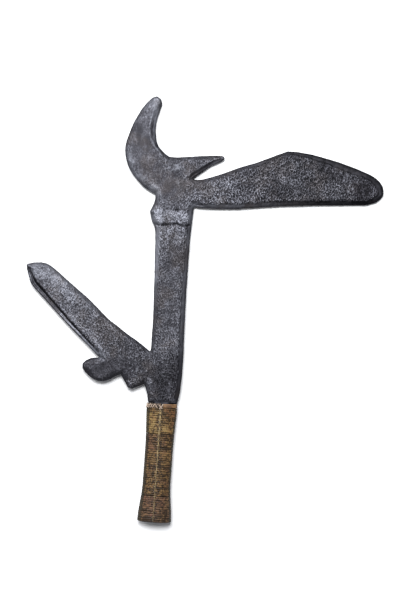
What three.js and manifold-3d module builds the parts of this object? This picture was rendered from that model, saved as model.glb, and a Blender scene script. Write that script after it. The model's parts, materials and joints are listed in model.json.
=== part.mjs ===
// A many-bladed throwing knife that passed as currency: one forged iron blade with its tang, and a grip
// that is packed out with wood, bound in three lengths of split cane, stitched down the front and laced.
// Millimetres, +Z up. The knife lies on its back as on a table, with its grip towards -Y.
// The pieces are made in the knife's own frame: the shaft runs along +Y, Y = 0 is the top of the grip,
// and Z = 0 is the middle of the blade's thickness.
import * as THREE from "three";
import { mergeVertices } from "three/addons/utils/BufferGeometryUtils.js";
import Module from "manifold-3d";

const wasm = await Module();
wasm.setup();

// Blade section
const bladeThickness = 4.6;
const edgeThickness = 1.3;
const bevelWidth = 6.5;
const bevelKnee = 0.4;
const bevelReach = 0.86;
const outlineStep = 5;
const outlineTurn = 16;

// Shaft, from the shoulders over the grip up to the neck
const shaftLength = 197.5;
const shaftHalfWidth = 16.5;
const shaftSwell = 2;
const shoulderRight = 15.2;
const shoulderLeft = 13.6;
const shoulderHeight = -0.4;
const collarHeight = 190;
const collarReach = 25.2;
const neckHalfWidth = 20.6;
const neckHeight = 205;

// Limbs of the head: crescent, spur and wing
const crescentHeel = 208;
const crescentHeight = 98;
const crescentReach = 32.5;
const spurRootReach = 13.5;
const spurRootHeight = 224;
const spurLength = 32.5;
const spurDepth = 26.4;
const wingLength = 189;
const wingDepth = 62.7;

// Lower arm and its two lobes
const armRootHeight = 50;
const armRise = 40;
const armLength = 150;
const armWidth = 38.7;
const greatLobeLength = 39.8;
const greatLobeDepth = 26;
const smallLobeHeight = 17.5;
const smallLobeLength = 24;
const smallLobeDepth = 14.3;

// Fold left open along the arm's lower edge
const foldWidth = 3.5;
const foldEndWidth = 1.2;
const foldDepth = 2.9;
const foldLip = 1.8;

// Tang inside the grip
const gripLength = 119.5;
const tangHalfWidth = 8;
const tangFootHalfWidth = 11.5;
const tangFlareLength = 30;
const tangBevel = 1;

// Packing: an oval a little right of the tang, narrower at its waist and flared at its foot
const packingOffset = 0.6;
const packingTopHalfWidth = 13.8;
const packingWaistHalfWidth = 12.3;
const packingFootHalfWidth = 15.4;
const packingTopHalfThickness = 5.6;
const packingWaistHalfThickness = 6;
const packingFootHalfThickness = 9;
const packingTopTaper = 44;
const packingFlareLength = 40;
const packingInset = 1;
const tangProud = 0.3;
const footRound = 1.6;
const fitGap = 0.3;

// Collar band, binding, stitching cord, knot and lacing
const bandWidth = 3.6;
const bandThickness = 1.1;
const caneWidth = 3.6;
const caneThickness = 1.3;
const caneSpacing = 0.7;
const upperBindingLength = 25.5;
const footBindingLength = 25.5;
const bindingBreak = 0.6;
const footRim = 0.6;
const cordDiameter = 1.7;
const cordOffset = 0.8;
const cordWander = 0.4;
const stitchLength = 5.2;
const knotLength = 5.6;
const knotWidth = 3.8;
const laceDiameter = 1.1;
const laceZigzags = 4;
const laceStart = 0.055;
const laceSpan = 0.2;
const laceOverlap = 1.2;

// Turns of a binding are made of this many steps
const stepsPerTurn = 24;

const iron = new THREE.MeshStandardMaterial({ color: 0x57575f, roughness: 0.62, metalness: 0.75 });
const wood = new THREE.MeshStandardMaterial({ color: 0x3f3122, roughness: 0.85, metalness: 0 });
const hide = new THREE.MeshStandardMaterial({ color: 0x94735a, roughness: 0.6, metalness: 0 });
const cane = new THREE.MeshStandardMaterial({ color: 0x6f573a, roughness: 0.55, metalness: 0 });
const fibre = new THREE.MeshStandardMaterial({ color: 0xb3a078, roughness: 0.8, metalness: 0 });

// Names a closed geometry and gives it its material.
function piece(name, geometry, material) {
  const mesh = new THREE.Mesh(geometry, material);
  mesh.name = name;
  return mesh;
}

// A geometry from rows of [x, y, z] points and triangles.
function meshOf(points, faces) {
  return new THREE.BufferGeometry()
    .setAttribute("position", new THREE.Float32BufferAttribute(points.flat(), 3))
    .setIndex(faces);
}

// A closed geometry as a solid that can be cut.
function solidOf(geometry) {
  const bare = geometry.clone();
  bare.deleteAttribute("normal");
  bare.deleteAttribute("uv");
  const merged = mergeVertices(bare, 1e-3);
  return new wasm.Manifold(
    new wasm.Mesh({
      numProp: 3,
      vertProperties: merged.attributes.position.array,
      triVerts: new Uint32Array(merged.index.array),
    }),
  );
}

// A cut solid back as a geometry.
function geometryOf(solid) {
  const mesh = solid.getMesh();
  return new THREE.BufferGeometry()
    .setAttribute("position", new THREE.BufferAttribute(mesh.vertProperties, 3))
    .setIndex(new THREE.BufferAttribute(mesh.triVerts, 1));
}

// Joins two closed rows of as many points each, given by the numbers of their first points.
function bridge(faces, from, to, count) {
  for (let i = 0; i < count; i++) {
    const next = (i + 1) % count;
    faces.push(from + i, from + next, to + next, from + i, to + next, to + i);
  }
}

const at = (x, y) => new THREE.Vector2(x, y);

// A limb's own frame. Its points are given by their shares of the limb's length and width.
function limb(origin, length, width) {
  return (along, across) => origin.clone().addScaledVector(length, along).addScaledVector(width, across);
}

// Straight edges of a path through points, one after the other.
function edges(path, points) {
  points.forEach((point) => path.lineTo(point.x, point.y));
}

// Foot of the shaft from the tang out to the shoulder, and the shaft's right edge up to the wing.
function shaftRight(path) {
  edges(path, [
    at(tangFootHalfWidth, -gripLength),
    at(tangHalfWidth, tangFlareLength - gripLength),
    at(tangHalfWidth, -packingInset / 2),
    at(shoulderRight, shoulderHeight),
  ]);
  path.splineThru([
    at(shaftHalfWidth + shaftSwell / 2, 0.06 * shaftLength),
    at(shaftHalfWidth + shaftSwell, 0.2 * shaftLength),
    at(shaftHalfWidth + shaftSwell / 3, 0.5 * shaftLength),
    at(shaftHalfWidth + shaftSwell / 4, 0.8 * shaftLength),
    at(shaftHalfWidth + shaftSwell, shaftLength),
  ]);
}

// Wing: lower edge, round end, long edge up to the peak, and back down to the spur's notch.
function wing(path) {
  const on = limb(at(shaftHalfWidth + shaftSwell, shaftLength), at(wingLength, 0), at(0, wingDepth));
  path.splineThru([on(0.05, -0.014), on(0.22, 0.014), on(0.44, 0.1), on(0.65, 0.16), on(0.913, 0.222)]);
  path.splineThru([
    on(0.965, 0.285),
    on(0.995, 0.38),
    on(0.997, 0.47),
    on(0.982, 0.579),
    on(0.93, 0.697),
    on(0.8, 0.833),
    on(0.65, 0.945),
    on(0.54, 0.992),
    on(0.476, 0.994),
  ]);
  path.splineThru([
    on(0.43, 0.936),
    on(0.325, 0.79),
    on(0.219, 0.67),
    on(0.114, 0.534),
    on(0.035, 0.447),
    on(0.008, 0.434),
  ]);
}

// Spur: from its notch over the wing out to the point, and back to the foot of the crescent.
function spur(path) {
  const on = limb(at(spurRootReach, spurRootHeight), at(spurLength, 0), at(0, spurDepth));
  edges(path, [on(0.046, 0.038), on(0.2, 0.21), on(0.6, 0.59)]);
  path.splineThru([on(0.9, 0.79), on(0.99, 0.9), on(0.985, 0.965), on(0.91, 1)]);
  edges(path, [on(0.66, 0.996), on(0.2, 0.939), on(-0.415, 0.841)]);
}

// Crescent: inner curve, round tip, and outer curve down to the neck.
function crescent(path) {
  const on = limb(at(-neckHalfWidth - 0.9, crescentHeel), at(crescentReach, 0), at(0, crescentHeight));
  path.splineThru([
    on(0.35, 0.39),
    on(0.23, 0.418),
    on(0.077, 0.464),
    on(-0.03, 0.515),
    on(-0.092, 0.612),
    on(-0.108, 0.694),
    on(-0.083, 0.765),
    on(-0.015, 0.852),
    on(0.04, 0.923),
  ]);
  path.splineThru([
    on(0.03, 0.954),
    on(-0.06, 0.986),
    on(-0.154, 0.998),
    on(-0.262, 0.985),
    on(-0.385, 0.944),
    on(-0.538, 0.878),
    on(-0.769, 0.735),
    on(-0.938, 0.577),
    on(-1, 0.48),
    on(-1, 0.408),
    on(-0.954, 0.337),
    on(-0.877, 0.265),
    on(-0.723, 0.184),
    on(-0.415, 0.077),
    on(-0.123, 0.015),
    on(0, 0),
  ]);
}

// Neck, the corner of the collar, and the shaft's left edge down to the arm.
function shaftLeft(path) {
  path.splineThru([
    at(-neckHalfWidth, neckHeight),
    at(-neckHalfWidth - 0.9, (neckHeight + collarHeight) / 2 + 1.5),
  ]);
  edges(path, [at(-collarReach, collarHeight)]);
  path.splineThru([
    at(-collarReach + 3, collarHeight - 10),
    at(-shaftHalfWidth - shaftSwell, collarHeight - 20),
    at(-shaftHalfWidth - 0.2, 0.7 * shaftLength),
    at(-shaftHalfWidth + 0.9 * shaftSwell, 0.45 * shaftLength),
    at(-shaftHalfWidth + shaftSwell, armRootHeight),
  ]);
}

// Arm: long upper edge, blunt tip, and the lower edge down to its heel. Gives back the tip and lower edge.
function arm(path) {
  const rise = THREE.MathUtils.degToRad(armRise);
  const out = at(-Math.cos(rise), Math.sin(rise)).multiplyScalar(armLength);
  const down = at(-Math.sin(rise), -Math.cos(rise)).multiplyScalar(armWidth);
  const on = limb(at(-shaftHalfWidth + shaftSwell, armRootHeight), out, down);
  path.splineThru([
    on(0.1, 0.03),
    on(0.202, 0.093),
    on(0.284, 0.118),
    on(0.363, 0.148),
    on(0.546, 0.13),
    on(0.714, 0.155),
    on(0.865, 0.184),
    on(0.9, 0.21),
    on(0.946, 0.317),
    on(0.985, 0.49),
    on(1, 0.6),
  ]);
  path.splineThru([on(0.978, 0.678), on(0.9, 0.858), on(0.864, 0.897)]);
  path.splineThru([on(0.716, 0.935), on(0.531, 0.985), on(0.353, 1.003), on(0.257, 1.015), on(0.213, 1.01)]);
  const edge = new THREE.CurvePath();
  path.curves.slice(-2).forEach((curve) => edge.add(curve));
  return edge;
}

// The great and the small lobe between the arm's heel and the shoulder.
function lobes(path) {
  const foot = at(-shaftHalfWidth - 1.1 * shaftSwell, smallLobeHeight);
  const small = limb(foot, at(-smallLobeLength, 0), at(0, smallLobeDepth));
  const great = limb(small(1, 0.55), at(-greatLobeLength, 0), at(0, greatLobeDepth));
  path.splineThru([
    great(0.76, 0.56),
    great(0.93, 0.42),
    great(0.995, 0.25),
    great(0.94, 0.06),
    great(0.78, -0.16),
    great(0.61, -0.3),
    great(0.44, -0.32),
    great(0.26, -0.22),
    great(0.1, -0.06),
    great(0, 0),
  ]);
  path.splineThru([
    small(0.89, 0.27),
    small(0.77, -0.06),
    small(0.67, -0.33),
    small(0.525, -0.44),
    small(0.33, -0.29),
    small(0.14, -0.1),
    small(0, 0),
  ]);
  path.splineThru([
    at(-shoulderLeft - shaftSwell, 0.55 * smallLobeHeight),
    at(-shoulderLeft, shoulderHeight),
  ]);
}

// The blade and tang seen from the front, anticlockwise from the tang's foot.
function bladeOutline() {
  const path = new THREE.Path();
  path.moveTo(-tangFootHalfWidth, -gripLength);
  shaftRight(path);
  wing(path);
  spur(path);
  crescent(path);
  shaftLeft(path);
  const armEdge = arm(path);
  lobes(path);
  edges(path, [
    at(-tangHalfWidth, -packingInset / 2),
    at(-tangHalfWidth, tangFlareLength - gripLength),
    at(-tangFootHalfWidth, -gripLength),
  ]);
  return { path, armEdge };
}

// How far a curve turns from end to end, in degrees.
function turningOf(curve) {
  const tangents = Array.from({ length: 25 }, (_, i) => curve.getTangentAt(i / 24));
  const turns = tangents.slice(1).map((tangent, i) => tangent.angleTo(tangents[i]));
  return THREE.MathUtils.radToDeg(turns.reduce((sum, turn) => sum + turn));
}

// Even points along each stretch of a path, closer where it bends, so that its corners stay.
function pointsAlong(path) {
  return path.curves.flatMap((curve) => {
    const byLength = curve.getLength() / (curve.isLineCurve ? 3 * outlineStep : outlineStep);
    const count = Math.ceil(Math.max(byLength, turningOf(curve) / outlineTurn, 1) - 0.5);
    return Array.from({ length: count }, (_, i) => curve.getPointAt(i / count));
  });
}

// At each point, the way into the blade and how far in the middle of the blade lies.
function insetsOf(points) {
  const fine = points.flatMap((point, i) => {
    const next = points[(i + 1) % points.length];
    return [0, 0.2, 0.4, 0.6, 0.8].map((share) => point.clone().lerp(next, share));
  });
  return points.map((point, i) => {
    const before = points[(i + points.length - 1) % points.length];
    const after = points[(i + 1) % points.length];
    const into = point.clone().sub(before).normalize();
    const onward = after.clone().sub(point).normalize();
    const along = into.add(onward).normalize();
    const inward = at(-along.y, along.x);
    const reach = fine.reduce((least, other) => {
      const to = other.clone().sub(point);
      const depth = to.dot(inward);
      return depth > 1e-3 ? Math.min(least, to.lengthSq() / (2 * depth)) : least;
    }, Infinity);
    return { inward, reach };
  });
}

// A plate of this outline, thin at its edge and bevelled up to its full thickness on both faces.
function bevelledPlate(points) {
  const insets = insetsOf(points);
  const count = points.length;
  const halfEdge = edgeThickness / 2;
  const halfRise = bladeThickness / 2 - halfEdge;
  const ring = (share) =>
    points.map((point, i) => {
      const bevel = point.y < shoulderHeight ? tangBevel : bevelWidth;
      const inset = share * Math.min(bevel, bevelReach * insets[i].reach);
      const inner = point.clone().addScaledVector(insets[i].inward, inset);
      return [inner.x, inner.y, halfEdge + halfRise * Math.sin((Math.PI / 2) * share)];
    });
  const rings = [ring(0), ring(bevelKnee), ring(1)];
  const front = rings.flat();
  const back = front.map(([x, y, z]) => [x, y, -z]);
  const under = front.length;
  const crown = under - count;
  const faces = [];
  bridge(faces, under, 0, count);
  for (let row = 0; row < crown; row += count) {
    bridge(faces, row, row + count, count);
    bridge(faces, under + row + count, under + row, count);
  }
  const flat = rings.at(-1).map(([x, y]) => at(x, y));
  for (const [a, b, c] of THREE.ShapeUtils.triangulateShape(flat, [])) {
    faces.push(crown + a, crown + b, crown + c);
    faces.push(under + crown + a, under + crown + c, under + crown + b);
  }
  return meshOf([...front, ...back], faces);
}

// What was never closed in forging: a slot in the arm's front, along its lower edge inside a thin lip.
function foldCutter(edge) {
  const count = 20;
  const foldEndShare = 0.03;
  const outer = [];
  const inner = [];
  for (let i = 0; i <= count; i++) {
    const along = THREE.MathUtils.lerp(foldEndShare, 1 - foldEndShare, i / count);
    const tangent = edge.getTangentAt(along);
    const inward = at(-tangent.y, tangent.x);
    const point = edge.getPointAt(along);
    const width = THREE.MathUtils.lerp(foldEndWidth, foldWidth, Math.sin(Math.PI * Math.sqrt(i / count)));
    outer.push(point.clone().addScaledVector(inward, foldLip));
    inner.unshift(point.clone().addScaledVector(inward, foldLip + width));
  }
  const slot = new THREE.ExtrudeGeometry(new THREE.Shape([...outer, ...inner]), {
    depth: foldDepth + bladeThickness,
    bevelEnabled: false,
  });
  return slot.translate(0, 0, bladeThickness / 2 - foldDepth);
}

// The whole forging, blade and tang.
function blade() {
  const { path, armEdge } = bladeOutline();
  const forged = solidOf(bevelledPlate(pointsAlong(path)));
  return geometryOf(forged.subtract(solidOf(foldCutter(armEdge))));
}

// A size of the packing at a height, from that at its top, at its waist and at its foot.
function packingSize(y, top, waist, foot) {
  const taper = 1 - THREE.MathUtils.smoothstep(-y, 0, packingTopTaper);
  const flare = THREE.MathUtils.smoothstep(-y, gripLength - packingFlareLength, gripLength);
  return waist + (top - waist) * taper + (foot - waist) * flare;
}

// Half width of the packing at a height.
function packingHalfWidth(y) {
  return packingSize(y, packingTopHalfWidth, packingWaistHalfWidth, packingFootHalfWidth);
}

// A point on the grip's oval, a given distance outside the packing. A quarter turn is the middle of the
// front.
function onGrip(turn, y, outside) {
  const halfThickness = packingSize(
    y,
    packingTopHalfThickness,
    packingWaistHalfThickness,
    packingFootHalfThickness,
  );
  const angle = 2 * Math.PI * turn;
  const x = packingOffset + (packingHalfWidth(y) + outside) * Math.cos(angle);
  return [x, y, (halfThickness + outside) * Math.sin(angle)];
}

// Room for the tang in the packing, open at the top and at the foot.
function tangRoom() {
  const slack = tangHalfWidth + fitGap;
  const footSlack = tangFootHalfWidth + fitGap;
  const flareTop = tangFlareLength - gripLength;
  const room = new THREE.Shape([
    at(-footSlack, -gripLength),
    at(footSlack, -gripLength),
    at(slack, flareTop),
    at(slack, shoulderHeight),
    at(-slack, shoulderHeight),
    at(-slack, flareTop),
  ]);
  const depth = bladeThickness + 2 * fitGap;
  return new THREE.ExtrudeGeometry(room, { depth, bevelEnabled: false }).translate(0, 0, -depth / 2);
}

// The wooden packing as a front and a back half, either side of the tang.
function packing() {
  const stations = 14;
  const foot = tangProud - gripLength;
  const turns = Array.from({ length: stepsPerTurn }, (_, i) => i / stepsPerTurn);
  const oval = (y, outside) => turns.map((turn) => onGrip(turn, y, outside));
  const rings = [oval(foot, -footRound)];
  for (let i = 0; i <= stations; i++) {
    rings.push(oval(THREE.MathUtils.lerp(foot + footRound, -packingInset, i / stations), 0));
  }
  const hollow = solidOf(tubeThrough(rings)).subtract(solidOf(tangRoom()));
  const reach = 3 * gripLength;
  const half = new THREE.BoxGeometry(reach, reach, reach);
  const lift = (reach + fitGap) / 2;
  const front = hollow.intersect(solidOf(half.clone().translate(0, 0, lift)));
  const back = hollow.intersect(solidOf(half.clone().translate(0, 0, -lift)));
  return { front: geometryOf(front), back: geometryOf(back) };
}

// A closed tube through rings of as many points each, with flat ends. The points of a ring run
// anticlockwise when seen along the tube.
function tubeThrough(rings) {
  const sides = rings[0].length;
  const faces = [];
  const last = (rings.length - 1) * sides;
  for (let row = 0; row < last; row += sides) bridge(faces, row + sides, row, sides);
  for (let i = 1; i < sides - 1; i++) {
    faces.push(0, i, i + 1);
    faces.push(last, last + i + 1, last + i);
  }
  return meshOf(rings.flat(), faces);
}

// Six corners of a flat strip on the grip: its distance along the grip and outside the packing.
function stripSection(width, thickness) {
  const shoulder = thickness / 2;
  return [
    [width / 2, shoulder],
    [width / 2 - shoulder, thickness],
    [shoulder - width / 2, thickness],
    [-width / 2, shoulder],
    [shoulder - width / 2, 0],
    [width / 2 - shoulder, 0],
  ];
}

// One ring of a strip where it lies round the grip.
function stripRing(section, turn, y) {
  return section.map(([along, out]) => onGrip(turn, y + along, fitGap + out));
}

// A ring moved straight on past its neighbour by a distance.
function runOn(ring, neighbour, distance) {
  const middle = (points) => new THREE.Vector3(...points[0]).lerp(new THREE.Vector3(...points[3]), 0.5);
  const way = middle(ring).sub(middle(neighbour)).setLength(distance);
  return ring.map(([x, y, z]) => [x + way.x, y + way.y, z + way.z]);
}

// Least distance between the points of a winding that lie half a turn or more apart along it.
function leastGap(rings) {
  let least = Infinity;
  for (let i = 0; i < rings.length; i++) {
    for (let j = i + stepsPerTurn / 2; j < rings.length; j++) {
      for (const [ax, ay, az] of rings[i]) {
        for (const [bx, by, bz] of rings[j]) least = Math.min(least, Math.hypot(ax - bx, ay - by, az - bz));
      }
    }
  }
  return least;
}

// How many rows down a winding has come. It runs level over the front and falls over the back.
function rowsDown(wound) {
  return Math.floor(wound) + THREE.MathUtils.smoothstep(wound % 1, 0.5, 1);
}

// A length of split cane wound down the grip as one unbroken strip, from the grip's right side to its
// left. It has as many rows as its length holds.
function binding(name, top, length) {
  const section = stripSection(caneWidth, caneThickness);
  const rows = 1 + Math.floor((length - caneWidth) / (caneWidth + caneSpacing));
  const pitch = (length - caneWidth) / (rows - 1);
  const rings = [];
  for (let i = 0; i <= (rows - 0.5) * stepsPerTurn; i++) {
    const wound = i / stepsPerTurn;
    rings.push(stripRing(section, wound, top - caneWidth / 2 - rowsDown(wound) * pitch));
  }
  rings.unshift(runOn(rings[0], rings[1], caneWidth));
  rings.push(runOn(rings.at(-1), rings.at(-2), caneWidth));
  console.log(`${name}: least gap to itself ${leastGap(rings).toFixed(2)} mm`);
  return tubeThrough(rings);
}

// The hide band round the top, with its two ends meeting under the knot.
function collarBand(top) {
  const section = stripSection(bandWidth, bandThickness);
  const rings = [];
  const slit = 0.012;
  for (let i = 0; i <= stepsPerTurn; i++) {
    const turn = THREE.MathUtils.clamp(i / stepsPerTurn, slit, 1 - slit);
    rings.push(stripRing(section, 0.25 + turn, top - bandWidth / 2));
  }
  return tubeThrough(rings);
}

// A round cord of eight sides along a curve, with a step every given number of diameters.
function cordAlong(curve, diameter, stepInDiameters) {
  const sides = 8;
  const corners = Array.from({ length: sides }, (_, i) =>
    at(diameter / 2, 0).rotateAround(at(0, 0), (2 * Math.PI * i) / sides),
  );
  const steps = Math.round(curve.getLength() / (stepInDiameters * diameter));
  return new THREE.ExtrudeGeometry(new THREE.Shape(corners), { steps, extrudePath: curve });
}

// How far outside the packing the middle of a cord lies on the binding.
function overBinding(diameter) {
  return fitGap + caneThickness + fitGap + diameter / 2;
}

// A point of the front at a distance along the grip and to the right of the tang's middle.
function onFront(x, y, outside) {
  const turn = Math.acos((x - packingOffset) / (packingHalfWidth(y) + outside)) / (2 * Math.PI);
  return new THREE.Vector3(...onGrip(turn, y, outside));
}

// The stitching cord down the front, from the knot to the foot, wandering a little from stitch to stitch.
function seamCord(top, foot) {
  const stitches = Math.round((top - foot) / stitchLength);
  const points = [];
  for (let i = 0; i <= stitches; i++) {
    const x = cordWander * Math.sin(2.4 * i) - cordOffset;
    points.push(onFront(x, THREE.MathUtils.lerp(top, foot, i / stitches), overBinding(cordDiameter)));
  }
  return cordAlong(new THREE.CatmullRomCurve3(points), cordDiameter, 2.5);
}

// The knot that starts the seam, over the ends of the collar band.
function seamKnot(middle) {
  const lift = overBinding(cordDiameter) - cordDiameter / 2 + knotWidth / 4;
  const knot = new THREE.SphereGeometry(0.5, 14, 10);
  const seat = onFront(-cordOffset, middle, lift);
  return knot.scale(knotWidth, knotLength, knotWidth / 2).translate(seat.x, seat.y, seat.z);
}

// The thin lace that zigzags over the band and the first turn of cane, left of the knot.
function collarLacing(top, foot) {
  const corners = 2 * laceZigzags + 1;
  const points = [];
  for (let i = 0; i < corners; i++) {
    const turn = 0.25 + laceStart + (laceSpan * i) / (corners - 1);
    points.push(new THREE.Vector3(...onGrip(turn, i % 2 ? foot : top, overBinding(laceDiameter))));
  }
  return cordAlong(new THREE.CatmullRomCurve3(points, false, "catmullrom", 0.3), laceDiameter, 2);
}

// The pieces in the knife's own frame.
function pieces() {
  const bandTop = -packingInset;
  const upperTop = bandTop - bandWidth - bindingBreak;
  const middleTop = upperTop - upperBindingLength - bindingBreak;
  const footEnd = tangProud + footRim - gripLength;
  const footTop = footEnd + footBindingLength;
  const middleLength = middleTop - footTop - bindingBreak;
  const knotMiddle = bandTop - knotLength / 2;
  const { front, back } = packing();
  return [
    piece("blade", blade(), iron),
    piece("packing_front", front, wood),
    piece("packing_back", back, wood),
    piece("collar_band", collarBand(bandTop), hide),
    piece("upper_binding", binding("upper_binding", upperTop, upperBindingLength), cane),
    piece("middle_binding", binding("middle_binding", middleTop, middleLength), cane),
    piece("foot_binding", binding("foot_binding", footTop, footBindingLength), cane),
    piece("seam_knot", seamKnot(knotMiddle), fibre),
    piece("seam_cord", seamCord(knotMiddle - knotLength / 2 - fitGap, footEnd), fibre),
    piece("collar_lacing", collarLacing(bandTop, bandTop - bandWidth - laceOverlap), fibre),
  ];
}

// The way up of the flat surface that the knife comes to rest on: its grip, the head's left and its right
// each touch the surface at their lowest point.
function surfaceUnder(vertices) {
  const zones = [
    vertices.filter((v) => v.y < 0),
    vertices.filter((v) => v.y >= 0 && v.x < 0),
    vertices.filter((v) => v.y >= 0 && v.x >= 0),
  ];
  const up = new THREE.Vector3(0, 0, 1);
  const plane = new THREE.Plane();
  for (let round = 0; round < 8; round++) {
    const lowest = zones.map((zone) => zone.reduce((low, v) => (v.dot(up) < low.dot(up) ? v : low)));
    up.copy(plane.setFromCoplanarPoints(...lowest).normal);
    if (up.z < 0) up.negate();
  }
  return up;
}

// Lays the pieces down, with the bottom centre of their box at the origin.
function laidDown(meshes) {
  const vertices = meshes.flatMap((mesh) => {
    const points = mesh.geometry.attributes.position;
    return Array.from({ length: points.count }, (_, i) => new THREE.Vector3().fromBufferAttribute(points, i));
  });
  const knife = new THREE.Group();
  knife.add(...meshes);
  knife.quaternion.setFromUnitVectors(surfaceUnder(vertices), new THREE.Vector3(0, 0, 1));
  const box = new THREE.Box3().setFromObject(knife, true);
  const centre = box.getCenter(new THREE.Vector3());
  knife.position.set(-centre.x, -centre.y, -box.min.z);
  return knife;
}

const model = new THREE.Group();
model.add(laidDown(pieces()));

export default model;
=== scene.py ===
"""A many-bladed throwing knife that passed as currency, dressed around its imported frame.

One forged iron blade with its tang, and a grip of wooden packing that is bound in three lengths of split cane,
stitched down the front and laced at the top. The knife lies on its back on a pale floor, seen from above.
Sizes are millimetres in the knife's own frame, whose Y axis runs up the shaft from the top of the grip and
whose X axis points to the wing, unless a name ends in _m. A field that ends in _mm is how far apart the lumps of
a pattern are.
"""

import json
import logging
import math
from dataclasses import dataclass
from enum import Enum
from functools import partial
from typing import Any, Callable, Iterable

import bpy
import numpy as np
from mathutils import Matrix, Vector, kdtree, noise

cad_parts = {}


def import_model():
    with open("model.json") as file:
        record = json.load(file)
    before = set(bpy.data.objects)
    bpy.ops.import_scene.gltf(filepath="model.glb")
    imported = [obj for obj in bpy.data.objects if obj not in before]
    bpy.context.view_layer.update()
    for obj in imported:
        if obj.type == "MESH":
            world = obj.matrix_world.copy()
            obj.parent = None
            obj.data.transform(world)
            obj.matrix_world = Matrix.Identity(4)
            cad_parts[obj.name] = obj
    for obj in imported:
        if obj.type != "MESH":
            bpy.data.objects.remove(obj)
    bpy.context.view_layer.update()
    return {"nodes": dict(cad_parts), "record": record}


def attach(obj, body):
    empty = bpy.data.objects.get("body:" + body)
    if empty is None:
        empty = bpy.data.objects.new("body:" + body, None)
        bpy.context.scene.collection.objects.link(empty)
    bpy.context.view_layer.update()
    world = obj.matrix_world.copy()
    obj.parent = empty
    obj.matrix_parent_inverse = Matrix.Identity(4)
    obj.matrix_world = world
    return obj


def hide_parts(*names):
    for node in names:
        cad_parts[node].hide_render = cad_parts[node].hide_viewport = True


MM = 0.001
BODY = "root"
SOFT = {"interpolation_type": "SMOOTHSTEP"}
COLOURS = {"output": 2, "data_type": "RGBA"}
NOISE_ROUGHNESS = 0.6
NOISE_LAYERS = 2
CORD_SIDES = 8
SEAM_GAP = 0.001
Array = np.ndarray
Object = bpy.types.Object
Material = bpy.types.Material
Mesh = bpy.types.Mesh
Tree = bpy.types.NodeTree
Socket = bpy.types.NodeSocket
Adder = Callable[..., Socket]
# Between its two values something fades in.
Fade = tuple[float, float]
# The lowest and highest value that is read, and what they turn to.
Span = tuple[float, float, float, float]

logger = logging.getLogger("throwing_knife")


def linear(hex_colour: str) -> tuple[float, float, float, float]:
    """Turns an sRGB hex colour to linear, with the numbers of the sRGB standard.

    Args:
        hex_colour: the colour, as "#rrggbb".

    Returns:
        Its linear red, green and blue, and an alpha of 1.
    """
    parts = [int(hex_colour[i : i + 2], 16) / 255 for i in (1, 3, 5)]
    red, green, blue = (p / 12.92 if p <= 0.04045 else ((p + 0.055) / 1.055) ** 2.4 for p in parts)
    return (red, green, blue, 1.0)


def per_metre(size_mm: float) -> float:
    """Gives the scale of a pattern whose lumps are that many millimetres apart."""
    return 1 / (size_mm * MM)


def feed(tree: Tree, node: bpy.types.Node, inputs: dict[Any, Any]) -> None:
    """Sets a node's input sockets, or links them where they are fed by another node's socket.

    Args:
        tree: the node tree.
        node: the node.
        inputs: what each socket holds or is fed from, by name or number.
    """
    for name, value in inputs.items():
        if isinstance(value, Socket):
            tree.links.new(value, node.inputs[name])
        else:
            node.inputs[name].default_value = value


def add_node(tree: Tree, kind: str, inputs: Any = (), output: Any = 0, **settings: Any) -> Socket:
    """Adds a node with its settings and links.

    Args:
        tree: the node tree.
        kind: the node's type, without its leading ShaderNode.
        inputs: what its sockets hold or are fed from, in order or by name or number.
        output: the output to link on from, by name or number.
        **settings: the node's own settings.

    Returns:
        That output's socket.
    """
    node = tree.nodes.new("ShaderNode" + kind)
    for name, value in settings.items():
        setattr(node, name, value)
    feed(tree, node, inputs if isinstance(inputs, dict) else dict(enumerate(inputs)))
    return node.outputs[output]


@dataclass(frozen=True)
class Finish:
    """A real material with its surface, built as nodes around one shader."""

    name: str
    bump_mm: float = 0.0
    hollowed: bool = False

    def material(self) -> Material:
        """Builds the material, with its relief as a bump.

        Returns:
            The material.
        """
        material = bpy.data.materials.new(self.name)
        material.use_nodes = True
        tree = material.node_tree
        add = partial(add_node, tree)
        fed = self.sockets(add)
        if self.bump_mm:
            bump = {"Strength": 1.0, "Distance": self.bump_mm * MM, "Height": fed.pop("Height")}
            fed["Normal"] = add("Bump", bump, invert=self.hollowed)
        feed(tree, tree.nodes["Principled BSDF"], fed)
        return material

    def sockets(self, add: Adder) -> dict[str, Any]:
        """Adds the material's own nodes, and gives what feeds the shader's sockets and its height."""
        raise NotImplementedError


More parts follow.
